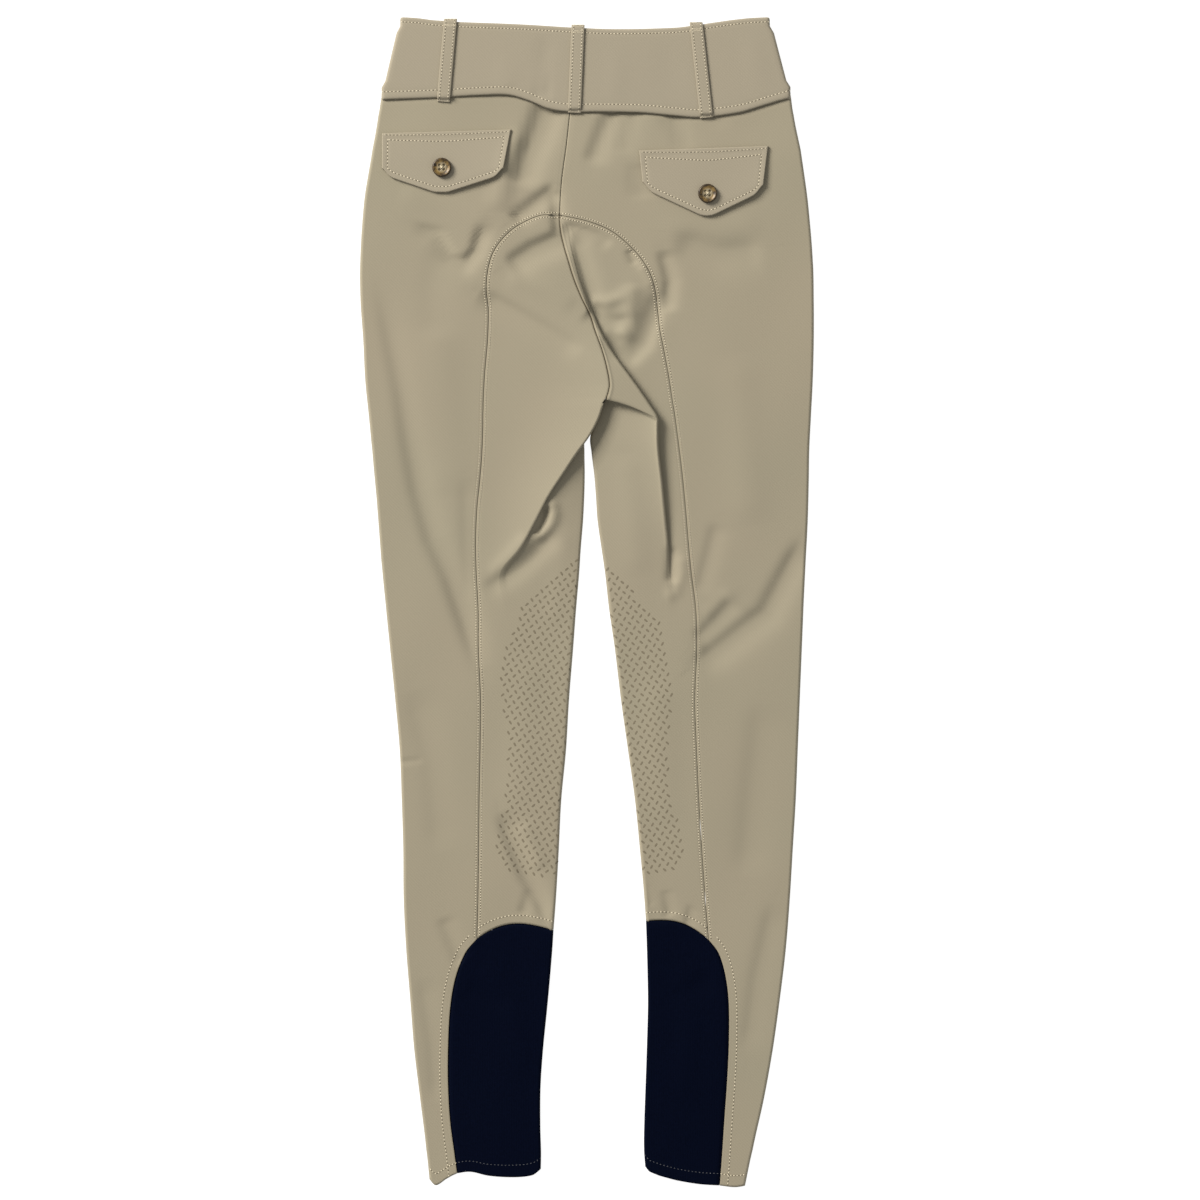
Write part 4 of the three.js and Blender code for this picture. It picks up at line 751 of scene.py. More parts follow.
# The fold's flank from its high side to its foot: share of LIP and of `under`, and share of the drop.
FLANK_BACK = np.array([1, 0.35, 0, 0.35, 1, 1.0])
FLANK_UNDER = np.array([0, 0, 0.15, 0.4, 0.75, 1.0])
FLANK_DROP = np.array([0, 0.08, 0.33, 0.6, 0.85, 1.0])
FLANK_STEPS = 12
ARCH_RISE = {"left": 9, "right": 7}
SEAT_COLUMNS, SHELF_COLUMNS = 34, 14    # left: down to the lip, and below it to the inner edge
GROOVE_COLUMNS, FALL_COLUMNS = 26, 26   # right: down to the groove, and from the ridge to the edge


def arch_lift(half, rows, f):
    """How far a row is lifted by the calf panel's arched top at the share f across the leg: a skewed half
    sine, fading away up and down the leg."""
    arch = half["calf_rows"]["seam_y"][0]
    near = ease(1 - np.abs(rows["seam_y"] - arch) / BLEND)[:, None]
    inner = np.clip(f, 0, 1)
    return ARCH_RISE[half["side"]] * np.sin(np.pi * inner**0.85) * near


def lifted(half, rows, inside, grid):
    """A grid of upper-face points with the calf's arch added to it."""
    f = (grid[..., 0] - inside[:, :1]) / (rows["inner_x"][:, None] - inside[:, :1])
    grid[..., 1] += np.where((f > 0) & (f < 1), arch_lift(half, rows, f), 0)
    return grid


def flank(lip, toward, rows, room=1.0):
    """Points over a fold's lip, from its high side down to its foot: smooth curve through six points whose
    places along `toward` and heights are shares of the lip, of `under` and of the drop. Its reach shrinks
    with `room`, where the panel is too narrow for it."""
    at = np.linspace(0, 5, FLANK_STEPS + 1)
    back, under, drop = (smooth(values, at) for values in (FLANK_BACK, FLANK_UNDER, FLANK_DROP))
    reach = np.reshape(room, (-1, 1)) * (-LIP * back - rows["under"][:, None] * under)
    plan = lip[:, None] + toward[:, None] * reach[..., None]
    height = mix(rows["lip_z"][:, None], rows["foot_z"][:, None], drop)
    height = height + crease_height(plan[..., 0], plan[..., 1])
    return np.concatenate([plan, height[..., None]], -1)


def inner_fold(rows, inside, room):
    """The soft fold at the inner edge of the leg, and the wrap on the underside."""
    edge = np.stack([rows["inner_x"], rows["inner_y"]], -1)
    radius = np.minimum(EDGE_RADIUS, 0.9 * room)
    return fold_under(edge, unit(inside - edge), radius, rows["inner_z"], rows["wrap"], 10, 10)


def left_face(half, f):
    """Left seat panel above its fold: straight in plan from the seam to the centre back, or to the lip
    below the crotch. The height goes from the back's own to that edge's, late and steeply."""
    seat, leg = half["seat_rows"], half["leg_rows"]
    inside = np.concatenate([half["inside"][half["seat"]], half["inside"][half["leg"]]])
    back = np.stack([look_up(CENTRE_BACK, "y", "x", seat["back_y"]) - SEAM_GAP / 2, seat["back_y"]], -1)
    lip = np.stack([leg["lip_x"], leg["lip_y"]], -1)
    toward = unit(lip - half["inside"][half["leg"]])
    end = np.concatenate([back, lip - LIP * toward])
    high = np.concatenate([look_up(CENTRE_BACK, "y", "z", seat["back_y"]), leg["lip_z"]])
    plan = inside[:, None] + (end - inside)[:, None] * f[..., None]
    x, y = np.moveaxis(plan, -1, 0)
    width = np.linalg.norm(end - inside, axis=1)[:, None]
    own = upper("left", x, y) - seam_dip(width * f, SEAM_STITCH)
    at_back = np.zeros(len(end))
    at_back[: len(back)] = 1
    # Over the last part the seam or the lip sets the height, and the creases stay on top of it.
    height = mix(own, high[:, None] + own - loft(y), np.clip(f, 0, 1) ** 2.2)
    height = height - at_back[:, None] * seam_dip(width * (1 - f))
    return np.stack([x, y, height], -1), inside


# Under the left leg's lip the cloth curls up once more: a round hollow, and the bulge round its outer
# side. The columns are those of the creases of the back.
CURL = [
    ([(-34, 78), (-34, 71), (-35.5, 65), (-38.5, 59), (-42, 54)], 4.0, -4.0, 1.0, 0.8, 0.0),
    ([(-31, 83), (-27, 77), (-26, 71), (-28, 64), (-32, 58), (-37.5, 53.5), (-43, 50)],
     4.4, 2.2, 0.8, 0.8, 0.0),
]
left = HALVES["left"]
shares = spread(SEAT_COLUMNS)[None]
face, inside = left_face(left, shares)
leg = left["leg_rows"]
first_leg = len(left["seat_rows"]["out"])
leg_inside = left["inside"][left["leg"]]
lip = np.stack([leg["lip_x"], leg["lip_y"]], -1)
toward = unit(lip - leg_inside)
face[first_leg:] = lifted(left, leg, leg_inside, face[first_leg:])
side_of_fold = flank(lip, toward, leg)
foot = side_of_fold[:, -1]
inner = np.stack([leg["inner_x"], leg["inner_y"]], -1)
roll = inner_fold(leg, leg_inside, np.linalg.norm(inner - foot[:, :2], axis=1))
to_edge = np.linspace(0, 1, SHELF_COLUMNS + 1)[None]
shelf = mix(foot[:, None], roll[:, :1], to_edge[..., None])
shelf[..., 2] = mix(leg["foot_z"][:, None], leg["inner_z"][:, None], to_edge)
shelf[..., 2] += crease_height(shelf[..., 0], shelf[..., 1]) * (1 - to_edge**4)
shelf[..., 2] += crease_sum(CURL, shelf[..., 0], shelf[..., 1]) * ease(to_edge / 0.08)
below = lifted(left, leg, leg_inside, np.concatenate([side_of_fold, shelf[:, 1:-1]], 1))
below[:, 0] = face[first_leg:, -1]
below = np.concatenate([below, roll], 1)
# Share of painted seam shade: faint along the seat seam, strong along the centre back.
seam_size = np.linalg.norm(face[:, -1, :2] - inside, axis=1)[:, None]
near_seam = np.exp(-((seam_size * shares / 0.7) ** 2))
near_back = np.exp(-((seam_size * (1 - shares) / 0.8) ** 2))
near_back[first_leg:] = 0
seat_left = cloth_piece("seat_left", [face, below], [0.08 * near_seam + 0.6 * near_back, 0], body_twill)
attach(seat_left, "root")
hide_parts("seat_left")


def right_grid(half, f):
    """Right seat panel from its seam to the centre back or the inner edge: down into the groove beside
    the fold's ridge, up over the ridge, and away from it. Between the two tables of sections the rows
    fold under themselves like an S, so that the upper part hangs over the leg."""
    seat, leg = half["seat_rows"], half["leg_rows"]
    names = ("lip_x", "lip_y", "lip_z", "under", "foot_z")
    inner_seat = {"inner_x": look_up(CENTRE_BACK, "y", "x", seat["back_y"]) + SEAM_GAP / 2,
                  "inner_y": seat["back_y"], "inner_z": look_up(CENTRE_BACK, "y", "z", seat["back_y"])}
    step = np.arange(1, FOLD_STEPS) / FOLD_STEPS
    rows = {name: np.concatenate([seat[name], mix(seat[name][-1], leg[name][0], step), leg[name]])
            for name in names}
    for name, share in (("inner_x", step), ("inner_y", step), ("inner_z", ease(step))):
        between = mix(inner_seat[name][-1], leg[name][0], share)
        rows[name] = np.concatenate([inner_seat[name], between, leg[name]])
    inside = half["inside"][half["seat"].start: half["leg"].stop]
    lip = np.stack([rows["lip_x"], rows["lip_y"]], -1)
    toward = unit(inside - lip)
    # The flank is drawn in where the fold's lip comes nearer than 8 mm to the seam.
    room = np.clip((np.linalg.norm(inside - lip, axis=1) - 0.5) / 8, 0.02, 1)
    side_of_fold = flank(lip, toward, rows, room)[:, ::-1]
    foot, crest = side_of_fold[:, 0], side_of_fold[:, -1]
    plan = inside[:, None] + (foot[:, :2] - inside)[:, None] * f[..., None]
    x, y = np.moveaxis(plan, -1, 0)
    width = np.linalg.norm(foot[:, :2] - inside, axis=1)[:, None]
    own = upper("right", x, y) - seam_dip(width * f, SEAM_STITCH)
    depth = rows["foot_z"][:, None] + own - loft(y)
    groove = np.concatenate([plan, mix(own, depth, f**1.5)[..., None]], -1)
    inner = np.stack([rows["inner_x"], rows["inner_y"], rows["inner_z"]], -1)
    return rows, inside, groove, side_of_fold, crest, inner


right = HALVES["right"]
shares = spread(GROOVE_COLUMNS)[None]
rows, inside, groove, side_of_fold, crest, inner = right_grid(right, shares)
leg = right["leg_rows"]
row_count, seat_count, leg_count = len(inside), len(right["seat_rows"]["out"]), len(leg["out"])
leg_inside = inside[-leg_count:]
leg_inner = inner[-leg_count:]
roll = inner_fold(leg, leg_inside, np.linalg.norm(leg_inner[:, :2] - crest[-leg_count:, :2], axis=1))
end = inner.copy()
end[-leg_count:] = roll[:, 0]
to_edge = spread(FALL_COLUMNS, 0.1)[None]
fall = mix(crest[:, None], end[:, None], to_edge[..., None])
# The height falls from the ridge to the edge with a power of the share, steeper at once on the leg.
power = np.full(row_count, 0.9)
power[-leg_count:] = mix(0.5, 0.62, ease(np.arange(leg_count) / 40))
fall[..., 2] = mix(rows["lip_z"][:, None], end[:, 2:], to_edge ** power[:, None])
# Where the upper part hangs over the leg the rows swing back and forth (a sine down the step), and
# beside the crotch they bow towards the waist (half a sine across, fading with a bell).
step = np.zeros(row_count)
step[seat_count: seat_count + FOLD_STEPS - 1] = np.arange(1, FOLD_STEPS) / FOLD_STEPS
on_leg = step.copy()
on_leg[-leg_count:] = 1
fall[..., 2] += crease_height(fall[..., 0], fall[..., 1]) * (1 - on_leg[:, None] * to_edge**4)
fall[..., 1] -= 2.3 * np.sin(2 * np.pi * step)[:, None] * to_edge**0.6
fall[..., 1] += 2.0 * bell(inner[:, 1] - 162, 9)[:, None] * np.sin(np.pi * to_edge)
# The centre-back seam on this side: rolled into the seam, with the pressed allowance as a low ridge.
from_back = np.linalg.norm(end[:, :2] - crest[:, :2], axis=1)[:, None] * (1 - to_edge)
at_back = np.ones(row_count)
at_back[seat_count:] = np.clip(1 - np.arange(row_count - seat_count) / 4, 0, 1)
fall[..., 2] -= at_back[:, None] * (seam_dip(from_back) - 0.4 * bell(from_back - 1.9, 1.2))
face = np.concatenate([groove[:, :-1], side_of_fold[:, :-1], fall], 1)
face[-leg_count:] = lifted(right, leg, leg_inside, face[-leg_count:])
face[-leg_count:, -1] = roll[:, 0]
# Share of painted seam shade: faint along the seat seam, strong along the centre back.
near_seam = np.zeros(face.shape[:2])
seam_size = np.linalg.norm(groove[:, -1, :2] - inside, axis=1)[:, None]
near_seam[:, : groove.shape[1]] = 0.08 * np.exp(-((seam_size * shares / 0.6) ** 2))
near_seam[:, -fall.shape[1]:] = 0.8 * at_back[:, None] * np.exp(-((from_back / 0.6) ** 2))
seat_right = cloth_piece("seat_right", [face, roll], [near_seam, 0], body_twill)
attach(seat_right, "root")
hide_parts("seat_right")


def arch_path(half):
    """The seat panel's lower edge in plan, from its seam to the inner edge of the leg."""
    rows, inside = half["leg_rows"], half["inside"][half["leg"]][-1]
    f = np.linspace(0, 1, 60)
    x, y = mix(inside[0], rows["inner_x"][-1], f), mix(inside[1], rows["inner_y"][-1], f)
    return np.stack([x, y + ARCH_RISE[half["side"]] * np.sin(np.pi * f**0.85)], -1)


for side, piece in (("left", seat_left), ("right", seat_right)):
    half = HALVES[side]
    beside_back = beside(half["seam"], -half["way"] * SEAM_STITCH)[half["seat"].start: half["leg"].stop]
    above_arch = beside(arch_path(half), -half["way"] * ARCH_STITCH)
    sew(f"stitching_seat_{side}", surface_of(piece),
        [*lockstitch(beside_back, SEAM_PITCH), *lockstitch(above_arch)], [khaki_thread, painted_hole_shadow])

# Grip print on the knee of each seat panel: short dashes of rubbery ink in rows that lean to one side
# and the other by turns. They lie on the upper face and go on round the inner edge to the wrap.
DASH_SIZE = (3.7, 1.6, 0.06)
DASH_STEP, DASH_ROW = 6.6, 4.15   # between dashes of a row, and between rows
DASH_LEAN = 50                    # degrees from the rows
ROWS_TURN = {"left": -10, "right": 10}
PRINT_MIDDLE = -90                # the rows are counted from this height
# Laid on from below or not, and least and greatest distance from the inner edge.
PRINT_ZONES = [(False, 0.9, 90), (True, 2.5, 46)]
# Print's outer boundary on each leg, in plan, from its top end down.
PRINT_EDGE = {
    "left": table("y x", [[38, -9.6], [18, -33.6], [2, -49.6], [-22, -59.2], [-46, -68], [-70, -69.6],
                          [-94, -65.6], [-126, -63.2], [-158, -65.6], [-190, -72], [-207.6, -71.2],
                          [-215.6, -57.6], [-220.4, -23.2]]),
    "right": table("y x", [[34, 14.4], [16.4, 30.4], [-2, 46.4], [-18, 58.4], [-42, 64.8], [-70, 68],
                           [-94, 67.2], [-126, 64.8], [-158, 68], [-182, 74.4], [-204.4, 78.4],
                           [-214, 70.4], [-219.6, 46.4]]),
}
# One dash: a flat-topped oblong with rounded ends, its corners as shares along, across and above.
around = np.arange(8) * np.pi / 4 + np.pi / 8
DASH_RIM = np.stack([0.5 * np.sign(np.cos(around)) * np.abs(np.cos(around)) ** 0.7,
                     0.54 * np.sin(around)], -1)
DASH_CORNERS = np.concatenate([np.pad(DASH_RIM, ((0, 0), (0, 1)), constant_values=-0.2),
                               np.pad(0.86 * DASH_RIM, ((0, 0), (0, 1)), constant_values=1)])
DASH_FACES = [(k, (k + 1) % 8, 8 + (k + 1) % 8, 8 + k) for k in range(8)]
DASH_TOPS = [(8, 9, 10, 11), (8, 11, 12, 15), (12, 13, 14, 15)]
# Clear silicone ink with a grey-brown tint: a shade darker than the cloth, with a soft gloss.
silicone_ink, tree = new_material("tinted_silicone_ink")
place = add_node(tree, "ShaderNodeTexCoord").outputs["Object"]
coat = add_node(tree, "ShaderNodeTexNoise", {"Vector": place, "Scale": 60.0, "Detail": 2.0})
tone = add_node(tree, "ShaderNodeMix", {"Factor": coat.outputs["Fac"], "A": linear("#6a6251"),
                                        "B": linear("#746c5a")}, data_type="RGBA")
surface = add_node(tree, "ShaderNodeBsdfPrincipled", {"Base Color": tone.outputs["Result"], "Roughness": 0.6,
                                                      "Specular IOR Level": 0.25})
add_node(tree, "ShaderNodeOutputMaterial", {"Surface": surface.outputs["BSDF"]})

for side, piece in (("left", seat_left), ("right", seat_right)):
    half, way = HALVES[side], HALVES[side]["way"]
    turn = np.radians(ROWS_TURN[side])
    number, row = np.meshgrid(np.arange(-60, 60), np.arange(-90, 90))
    along, over = (number + 0.5 * (row % 2)) * DASH_STEP, row * DASH_ROW
    x = along * np.cos(turn) - over * np.sin(turn)
    y = along * np.sin(turn) + over * np.cos(turn) + PRINT_MIDDLE
    lean = turn + np.radians(DASH_LEAN) * np.where(row % 2, 1, -1)
    boundary = PRINT_EDGE[side]
    from_edge = -way * (look_up(half["leg_rows"], "inner_y", "inner_x", y) - x)
    inside_print = -way * (look_up(boundary, "y", "x", y) - x) < 0
    inside_print &= (y < boundary["y"][0]) & (y > boundary["y"][-1])
    skin = surface_of(piece)
    points, faces, start = [], [], 0
    for from_below, near, far in PRINT_ZONES:
        chosen = inside_print & (from_edge > near) & (from_edge < far)
        centres, normals, met = laid_on(skin, np.stack([x[chosen], y[chosen]], -1), from_below)
        heading = np.stack([np.cos(lean[chosen]), np.sin(lean[chosen])], -1)[met]
        corner, face = copies(DASH_CORNERS, DASH_FACES, centres, normals, heading, DASH_SIZE)
        top = copies(DASH_CORNERS, DASH_TOPS, centres, normals, heading, DASH_SIZE)[1]
        points.append(corner)
        faces.append(np.concatenate([face, top]) + start)
        start += len(corner)
    print_piece = make_piece(f"grip_print_{side}", np.concatenate(points), np.concatenate(faces),
                             [silicone_ink])
    print_piece.data.shade_flat()
    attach(print_piece, "root")

# Calf panels, left and right: smooth stretch knit in navy, with an arched top under the turned edge of
# the khaki cloth, round the inner edge to the underside, with a row of stitches above the hem.
ARCH_GAP = 0.4          # between the seat panel's arched edge and the calf panel
CALF_COLUMNS = 34
# Navy warp knit of nylon: very dark, with a soft sheen and a fine grain of loops.
navy_knit, tree = new_material("navy_stretch_knit")
place = add_node(tree, "ShaderNodeTexCoord").outputs["Object"]
# The wales are 0.5 mm apart on the real knit and are drawn at 1.4 mm.
wales = add_node(tree, "ShaderNodeTexWave", {"Vector": place, "Scale": 230.0, "Distortion": 1.0,
                                             "Detail": 1.0}, wave_type="BANDS", bands_direction="X")
loops = add_node(tree, "ShaderNodeTexNoise", {"Vector": place, "Scale": 900.0, "Detail": 2.0})
grain = add_node(tree, "ShaderNodeMath", {0: wales.outputs["Fac"], 1: loops.outputs["Fac"]}, operation="ADD")
tone = add_node(tree, "ShaderNodeMix", {"Factor": loops.outputs["Fac"], "A": linear("#00020d"),
                                        "B": linear("#03081b")}, data_type="RGBA")
bump = add_node(tree, "ShaderNodeBump", {"Height": grain.outputs["Value"], "Strength": 0.4,
                                         "Distance": 0.00015})
surface = add_node(tree, "ShaderNodeBsdfPrincipled", {
    "Base Color": tone.outputs["Result"], "Normal": bump.outputs["Normal"], "Roughness": 0.75,
    "Specular IOR Level": 0.03})
add_node(tree, "ShaderNodeOutputMaterial", {"Surface": surface.outputs["BSDF"]})
hem_thread = spun_thread("grey_polyester_thread", "#3e4149")

for side, half in HALVES.items():
    rows, inside = half["calf_rows"], half["inside"][half["calf"]]
    roll = inner_fold(rows, inside, np.full(len(inside), 2 * EDGE_RADIUS))
    f = spread(CALF_COLUMNS)[None]
    plan = mix(inside[:, None], roll[:, :1, :2], f[..., None])
    size = np.linalg.norm(roll[:, 0, :2] - inside, axis=1)[:, None]
    high = upper(side, plan[..., 0], plan[..., 1])
    from_top = np.hypot(*(inside - inside[0]).T)[:, None]
    # The knit dips under the khaki cloth, beside the seam and along the arch.
    tucked = 0.9 * np.exp(-((size * f / 1.6) ** 2))
    tucked = tucked + 0.9 * np.exp(-((from_top / 1.6) ** 2)) * np.sin(np.pi * f) ** 0.3
    face = np.concatenate([plan, (mix(high, rows["inner_z"][:, None], f**3) - tucked)[..., None]], -1)
    face = lifted(half, rows, inside, face)
    grid = np.concatenate([face[:, :-1], roll], 1)
    grid[..., 1] = bend(side, grid[..., 0], grid[..., 1])
    grid[0, :, 1] -= ARCH_GAP
    calf = cloth_piece(f"calf_{side}", [grid], [0], navy_knit)
    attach(calf, "root")
    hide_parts(f"calf_{side}")
    hem_row = above_hem(side, (inside[-1, 0], rows["inner_x"][-1]))
    sew(f"stitching_calf_{side}", surface_of(calf), [(hem_row, 2.9, (1.6, 0.7, 0.25), 0, 0.5, False)],
        [hem_thread])

# Front panels, left and right: plain stretch twill on the table, from the side seam to the centre
# front, and below the crotch to the edge of the panels that wrap round the leg.
CENTRE_FRONT = table("y x", [[395, -6], [161, 12]])
FRONT_COLUMNS = 20
for side, half in HALVES.items():
    top_y = half["seam"][half["top"], 1]
    seat_y = half["seat_rows"]["back_y"]
    centre_y = np.concatenate([top_y, seat_y])
    # The two fronts meet edge to edge, so that nothing shines through where the seams cross.
    centre = np.stack([np.interp(-centre_y, -CENTRE_FRONT["y"], CENTRE_FRONT["x"]), centre_y], -1)
    ends = [centre]
    for name, rows in (("leg", half["leg_rows"]), ("calf", half["calf_rows"])):
        edge = np.stack([rows["inner_x"], rows["inner_y"]], -1)
        inward = unit(half["inside"][half[name]] - edge)
        ends.append((edge + inward * (rows["wrap"] + SEAM_GAP)[:, None])[: len(edge) - (name == "leg")])
    chosen = np.r_[half["top"], half["seat"], half["leg"].start: half["leg"].stop - 1, half["calf"]]
    outer = half["edge"][chosen] + half["inward"][chosen] * (SIDE_SEAM_INSET + SEAM_GAP)
    f = np.linspace(0, 1, FRONT_COLUMNS + 1)[None, :, None]
    plan = mix(outer[:, None], np.concatenate(ends)[:, None], f)
    plan[..., 1] = bend(side, plan[..., 0], plan[..., 1])
    grid = np.concatenate([plan, np.full((*plan.shape[:2], 1), UNDERSIDE)], -1)
    front = cloth_piece(f"front_{side}", [grid], [0], body_twill, faces_up=False)
    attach(front, "root")
    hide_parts(f"front_{side}")

# Waistband: two layers of band cloth over a stiffener, one deep piece round both sides, open at the
# centre front. Its lower edge is turned under and rolls over the waist seam, with a row of stitches
# along either edge.
BAND_EDGE = table("x y", [[-149.6, 468.4], [-136, 467.6], [-124, 466], [-100.8, 464.4],
                          [-53.6, 462.6], [-1.6, 459.6], [30, 458.8], [72, 460], [92.8, 462.6],
                          [104, 464.4], [115.2, 466], [129.6, 467.6], [146.4, 468.4]])
BAND_INNER = {"back": 4.6, "front": 3.6}   # height of the band's inner face
BAND_FOLD = 3.2                            # distance from its ends to where it turns to the front
BAND_STITCH = {"top": 4.0, "bottom": 3.9}
# Section from the lower inner corner round the outer face: which edge it is measured from (0 the
# seam, 1 the top edge), distance above that edge, and how far it stands out from the inner face.
BAND_SECTION = table("edge above out", [
    [0, 2.0, 0], [0, 0.2, 0.1], [0, -1.2, 0.5], [0, -2.1, 1.2], [0, -2.2, 1.9], [0, -1.5, 2.5],
    [0, -0.9, 2.7], [0, 0.4, 2.78], [0, 2.4, 2.75], [0, 3.9, 2.55], [0, 5.4, 2.68], [0, 7.4, 2.7],
    [0.2, 0, 2.7], [0.35, 0, 2.7], [0.5, 0, 2.7], [0.65, 0, 2.7], [0.8, 0, 2.7], [1, -7.0, 2.7],
    [1, -5.2, 2.68], [1, -4.0, 2.55], [1, -2.6, 2.68], [1, -1.4, 2.6], [1, -0.5, 2.2], [1, -0.05, 1.5],
    [1, -0.2, 0.8], [1, -0.9, 0.2], [1, -2.2, 0], [0.75, 0, 0], [0.5, 0, 0], [0.25, 0, 0]])
BAND_CREASES = [
    ([(-30.5, 416), (-32.5, 404)], 3.2, -0.8, 0.4, 1.0, 0.0),
    ([(-41, 414), (-38.5, 403)], 3.6, -0.7, 0.4, 1.0, 0.0),
    ([(-32, 452), (-36, 424)], 8.0, -0.7, 0.5, 0.6, 0.0),
    ([(-70, 430), (-62, 412)], 10.0, 0.5, 0.5, 0.6, 0.0),
    ([(60, 446), (70, 408)], 12.0, -0.5, 0.5, 0.6, 0.0),
    ([(24, 440), (22, 402)], 9.0, 0.4, 0.5, 0.7, 0.0),
    ([(130, 452), (140, 416)], 10.0, 0.5, 0.6, 0.6, 0.0),
]
# Band cloth for the waistband, loops and flaps: a copy of the body's twill, a shade lighter and pinker. This
# is painted light, the warmer cast of the light on the upper part of the garment.
band_twill_painted_light = woven_khaki("khaki_band_twill", "#8e8675", "#918876", "#8a8473")


def band_point(share, section, angle):
    """Section of the band at the share of its width: `angle` turns it from the back (90 degrees) round a
    side to the front (-90 or 270 degrees), about a line just inside the fold."""
    edge, above, out = (section[key][None] for key in ("edge", "above", "out"))
    low_x, top_x = (mix(row["x"][0], row["x"][-1], share) for row in (WAIST_SEAM, BAND_EDGE))
    low_y, top_y = look_up(WAIST_SEAM, "x", "y", low_x), look_up(BAND_EDGE, "x", "y", top_x)
    x = mix(low_x[:, None], top_x[:, None], edge)
    y = mix(low_y[:, None], top_y[:, None], edge) + above
    to_front = ease((1 - np.sin(angle)) / 2)[:, None]
    reach = (BAND_INNER["back"] - BAND_INNER["front"]) / 2 + out * mix(1, 0.72, to_front)
    middle = (BAND_INNER["back"] + BAND_INNER["front"]) / 2
    # Creases are pressed into the outer face, on the back only.
    on_back = (np.abs(angle - 0.5 * np.pi) < 0.07)[:, None]
    height = middle + reach * np.sin(angle)[:, None]
    height = height + crease_sum(BAND_CREASES, x, y) * (out > 1.5) * on_back
    return np.stack([x + reach * np.cos(angle)[:, None], y, height], -1)


def tube_faces(rows, columns):
    """Faces of a tube on a grid of points: closed round its columns, capped on its first and last row."""
    caps = [tuple(range(columns)), tuple(range(rows * columns - 1, (rows - 1) * columns - 1, -1))]
    return [tuple(face) for face in grid_faces(rows, columns, closed=True)] + caps


band_width = WAIST_SEAM["x"][-1] - WAIST_SEAM["x"][0]
fold = BAND_FOLD / band_width
centre = (CENTRE_FRONT["x"][0] - WAIST_SEAM["x"][0]) / band_width
gap = SEAM_GAP / band_width
turn = np.linspace(0.5, 1.5, 11)[1:-1] * np.pi
# From the centre front round the left side, along the back and round the right side to the centre
# front again: shares of the width, and the angle of the section at each.
share, angle = (np.concatenate(parts) for parts in zip(
    (np.linspace(centre - gap, fold, 30), np.full(30, 1.5 * np.pi)),
    (np.full(9, fold), turn[::-1]),
    (np.linspace(fold, 1 - fold, 110), np.full(110, 0.5 * np.pi)),
    (np.full(9, 1 - fold), np.pi - turn),
    (np.linspace(1 - fold, centre + gap, 34), np.full(34, -0.5 * np.pi))))
band_grid = band_point(share, BAND_SECTION, angle)
waistband = outward(make_piece("waistband", band_grid.reshape(-1, 3), tube_faces(*band_grid.shape[:2]),
                               [band_twill_painted_light]))
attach(waistband, "root")
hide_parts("waistband")
lower_row = np.stack([WAIST_SEAM["x"], WAIST_SEAM["y"] + BAND_STITCH["bottom"]], -1)
upper_row = np.stack([BAND_EDGE["x"], BAND_EDGE["y"] - BAND_STITCH["top"]], -1)
band_rows = []
for row, count, pitch in ((lower_row, 140, 3.0), (upper_row, 120, 2.75)):
    at = np.linspace(0, len(row) - 1, count)
    band_rows.append((np.stack([smooth(row[:, k], at) for k in (0, 1)], -1), pitch))
stitches = [stitch for from_below in (False, True) for row, pitch in band_rows
            for stitch in lockstitch(row, pitch, from_below=from_below)]
sew("stitching_waistband", surface_of(waistband), stitches, [khaki_thread, painted_hole_shadow])

# Belt loops: folded strips of band cloth, stitched along both edges. The three at the back stand on
# the waist seam, cross the band and go over its top edge, where a bar tack holds them. The two at the
# front lie under the band.
LOOP_WIDTH, LOOP_WALL = 10.5, 1.3
# Path of a back loop's middle: which end it is measured from (0 its foot, 1 its head), distance
# above that end, and height.
LOOP_PATH = table("end above z", [
    [0, 0, 6.3], [0, 0.9, 6.35], [0, 1.8, 6.6], [0, 2.6, 7.4], [0, 3.6, 8.1], [0, 5.2, 8.3],
    [0, 8, 8.25], [0.25, 0, 8.2], [0.5, 0, 8.25], [0.75, 0, 8.2], [1, -8, 8.2], [1, -4, 8.2],
    [1, -1.6, 8.15], [1, -0.2, 7.9], [1, 0.9, 7.3], [1, 1.4, 6.5], [1, 1.45, 5.6]])
LOOPS = {"back_left": ((-114.8, 400.6), (-109.2, 465.0)), "back_centre": ((-10, 391.8), (-7.2, 460.2)),
         "back_right": ((95.6, 387.8), (87.4, 462.2))}
FRONT_LOOP_X = {"left": -72, "right": 60}
# Section of a strap as shares of its width and wall, drawn in a little under the stitches.
STRAP_SECTION = np.array([(-0.5, 0), (-0.49, 0.3), (-0.455, 0.5), (-0.36, 0.47), (-0.2, 0.5), (0, 0.5),
                          (0.2, 0.5), (0.36, 0.47), (0.455, 0.5), (0.49, 0.3), (0.5, 0), (0.49, -0.3),
                          (0.455, -0.5), (0, -0.5), (-0.455, -0.5), (-0.49, -0.3)])


def strap(name, middle):
    """A strip along a path of points: its rounded section square to the path, with closed ends."""
    along = unit(np.gradient(middle, axis=0))
    sideways = unit(np.cross(along, np.cross((1, 0, 0), along)))
    up = np.cross(sideways, along)
    up *= np.where(up[:, 2:] < -0.2, -1, 1)
    points = (middle[:, None] + sideways[:, None] * LOOP_WIDTH * STRAP_SECTION[None, :, :1]
              + up[:, None] * LOOP_WALL * STRAP_SECTION[None, :, 1:])
    return outward(make_piece(name, points.reshape(-1, 3), tube_faces(*points.shape[:2]), [band_twill_painted_light]))


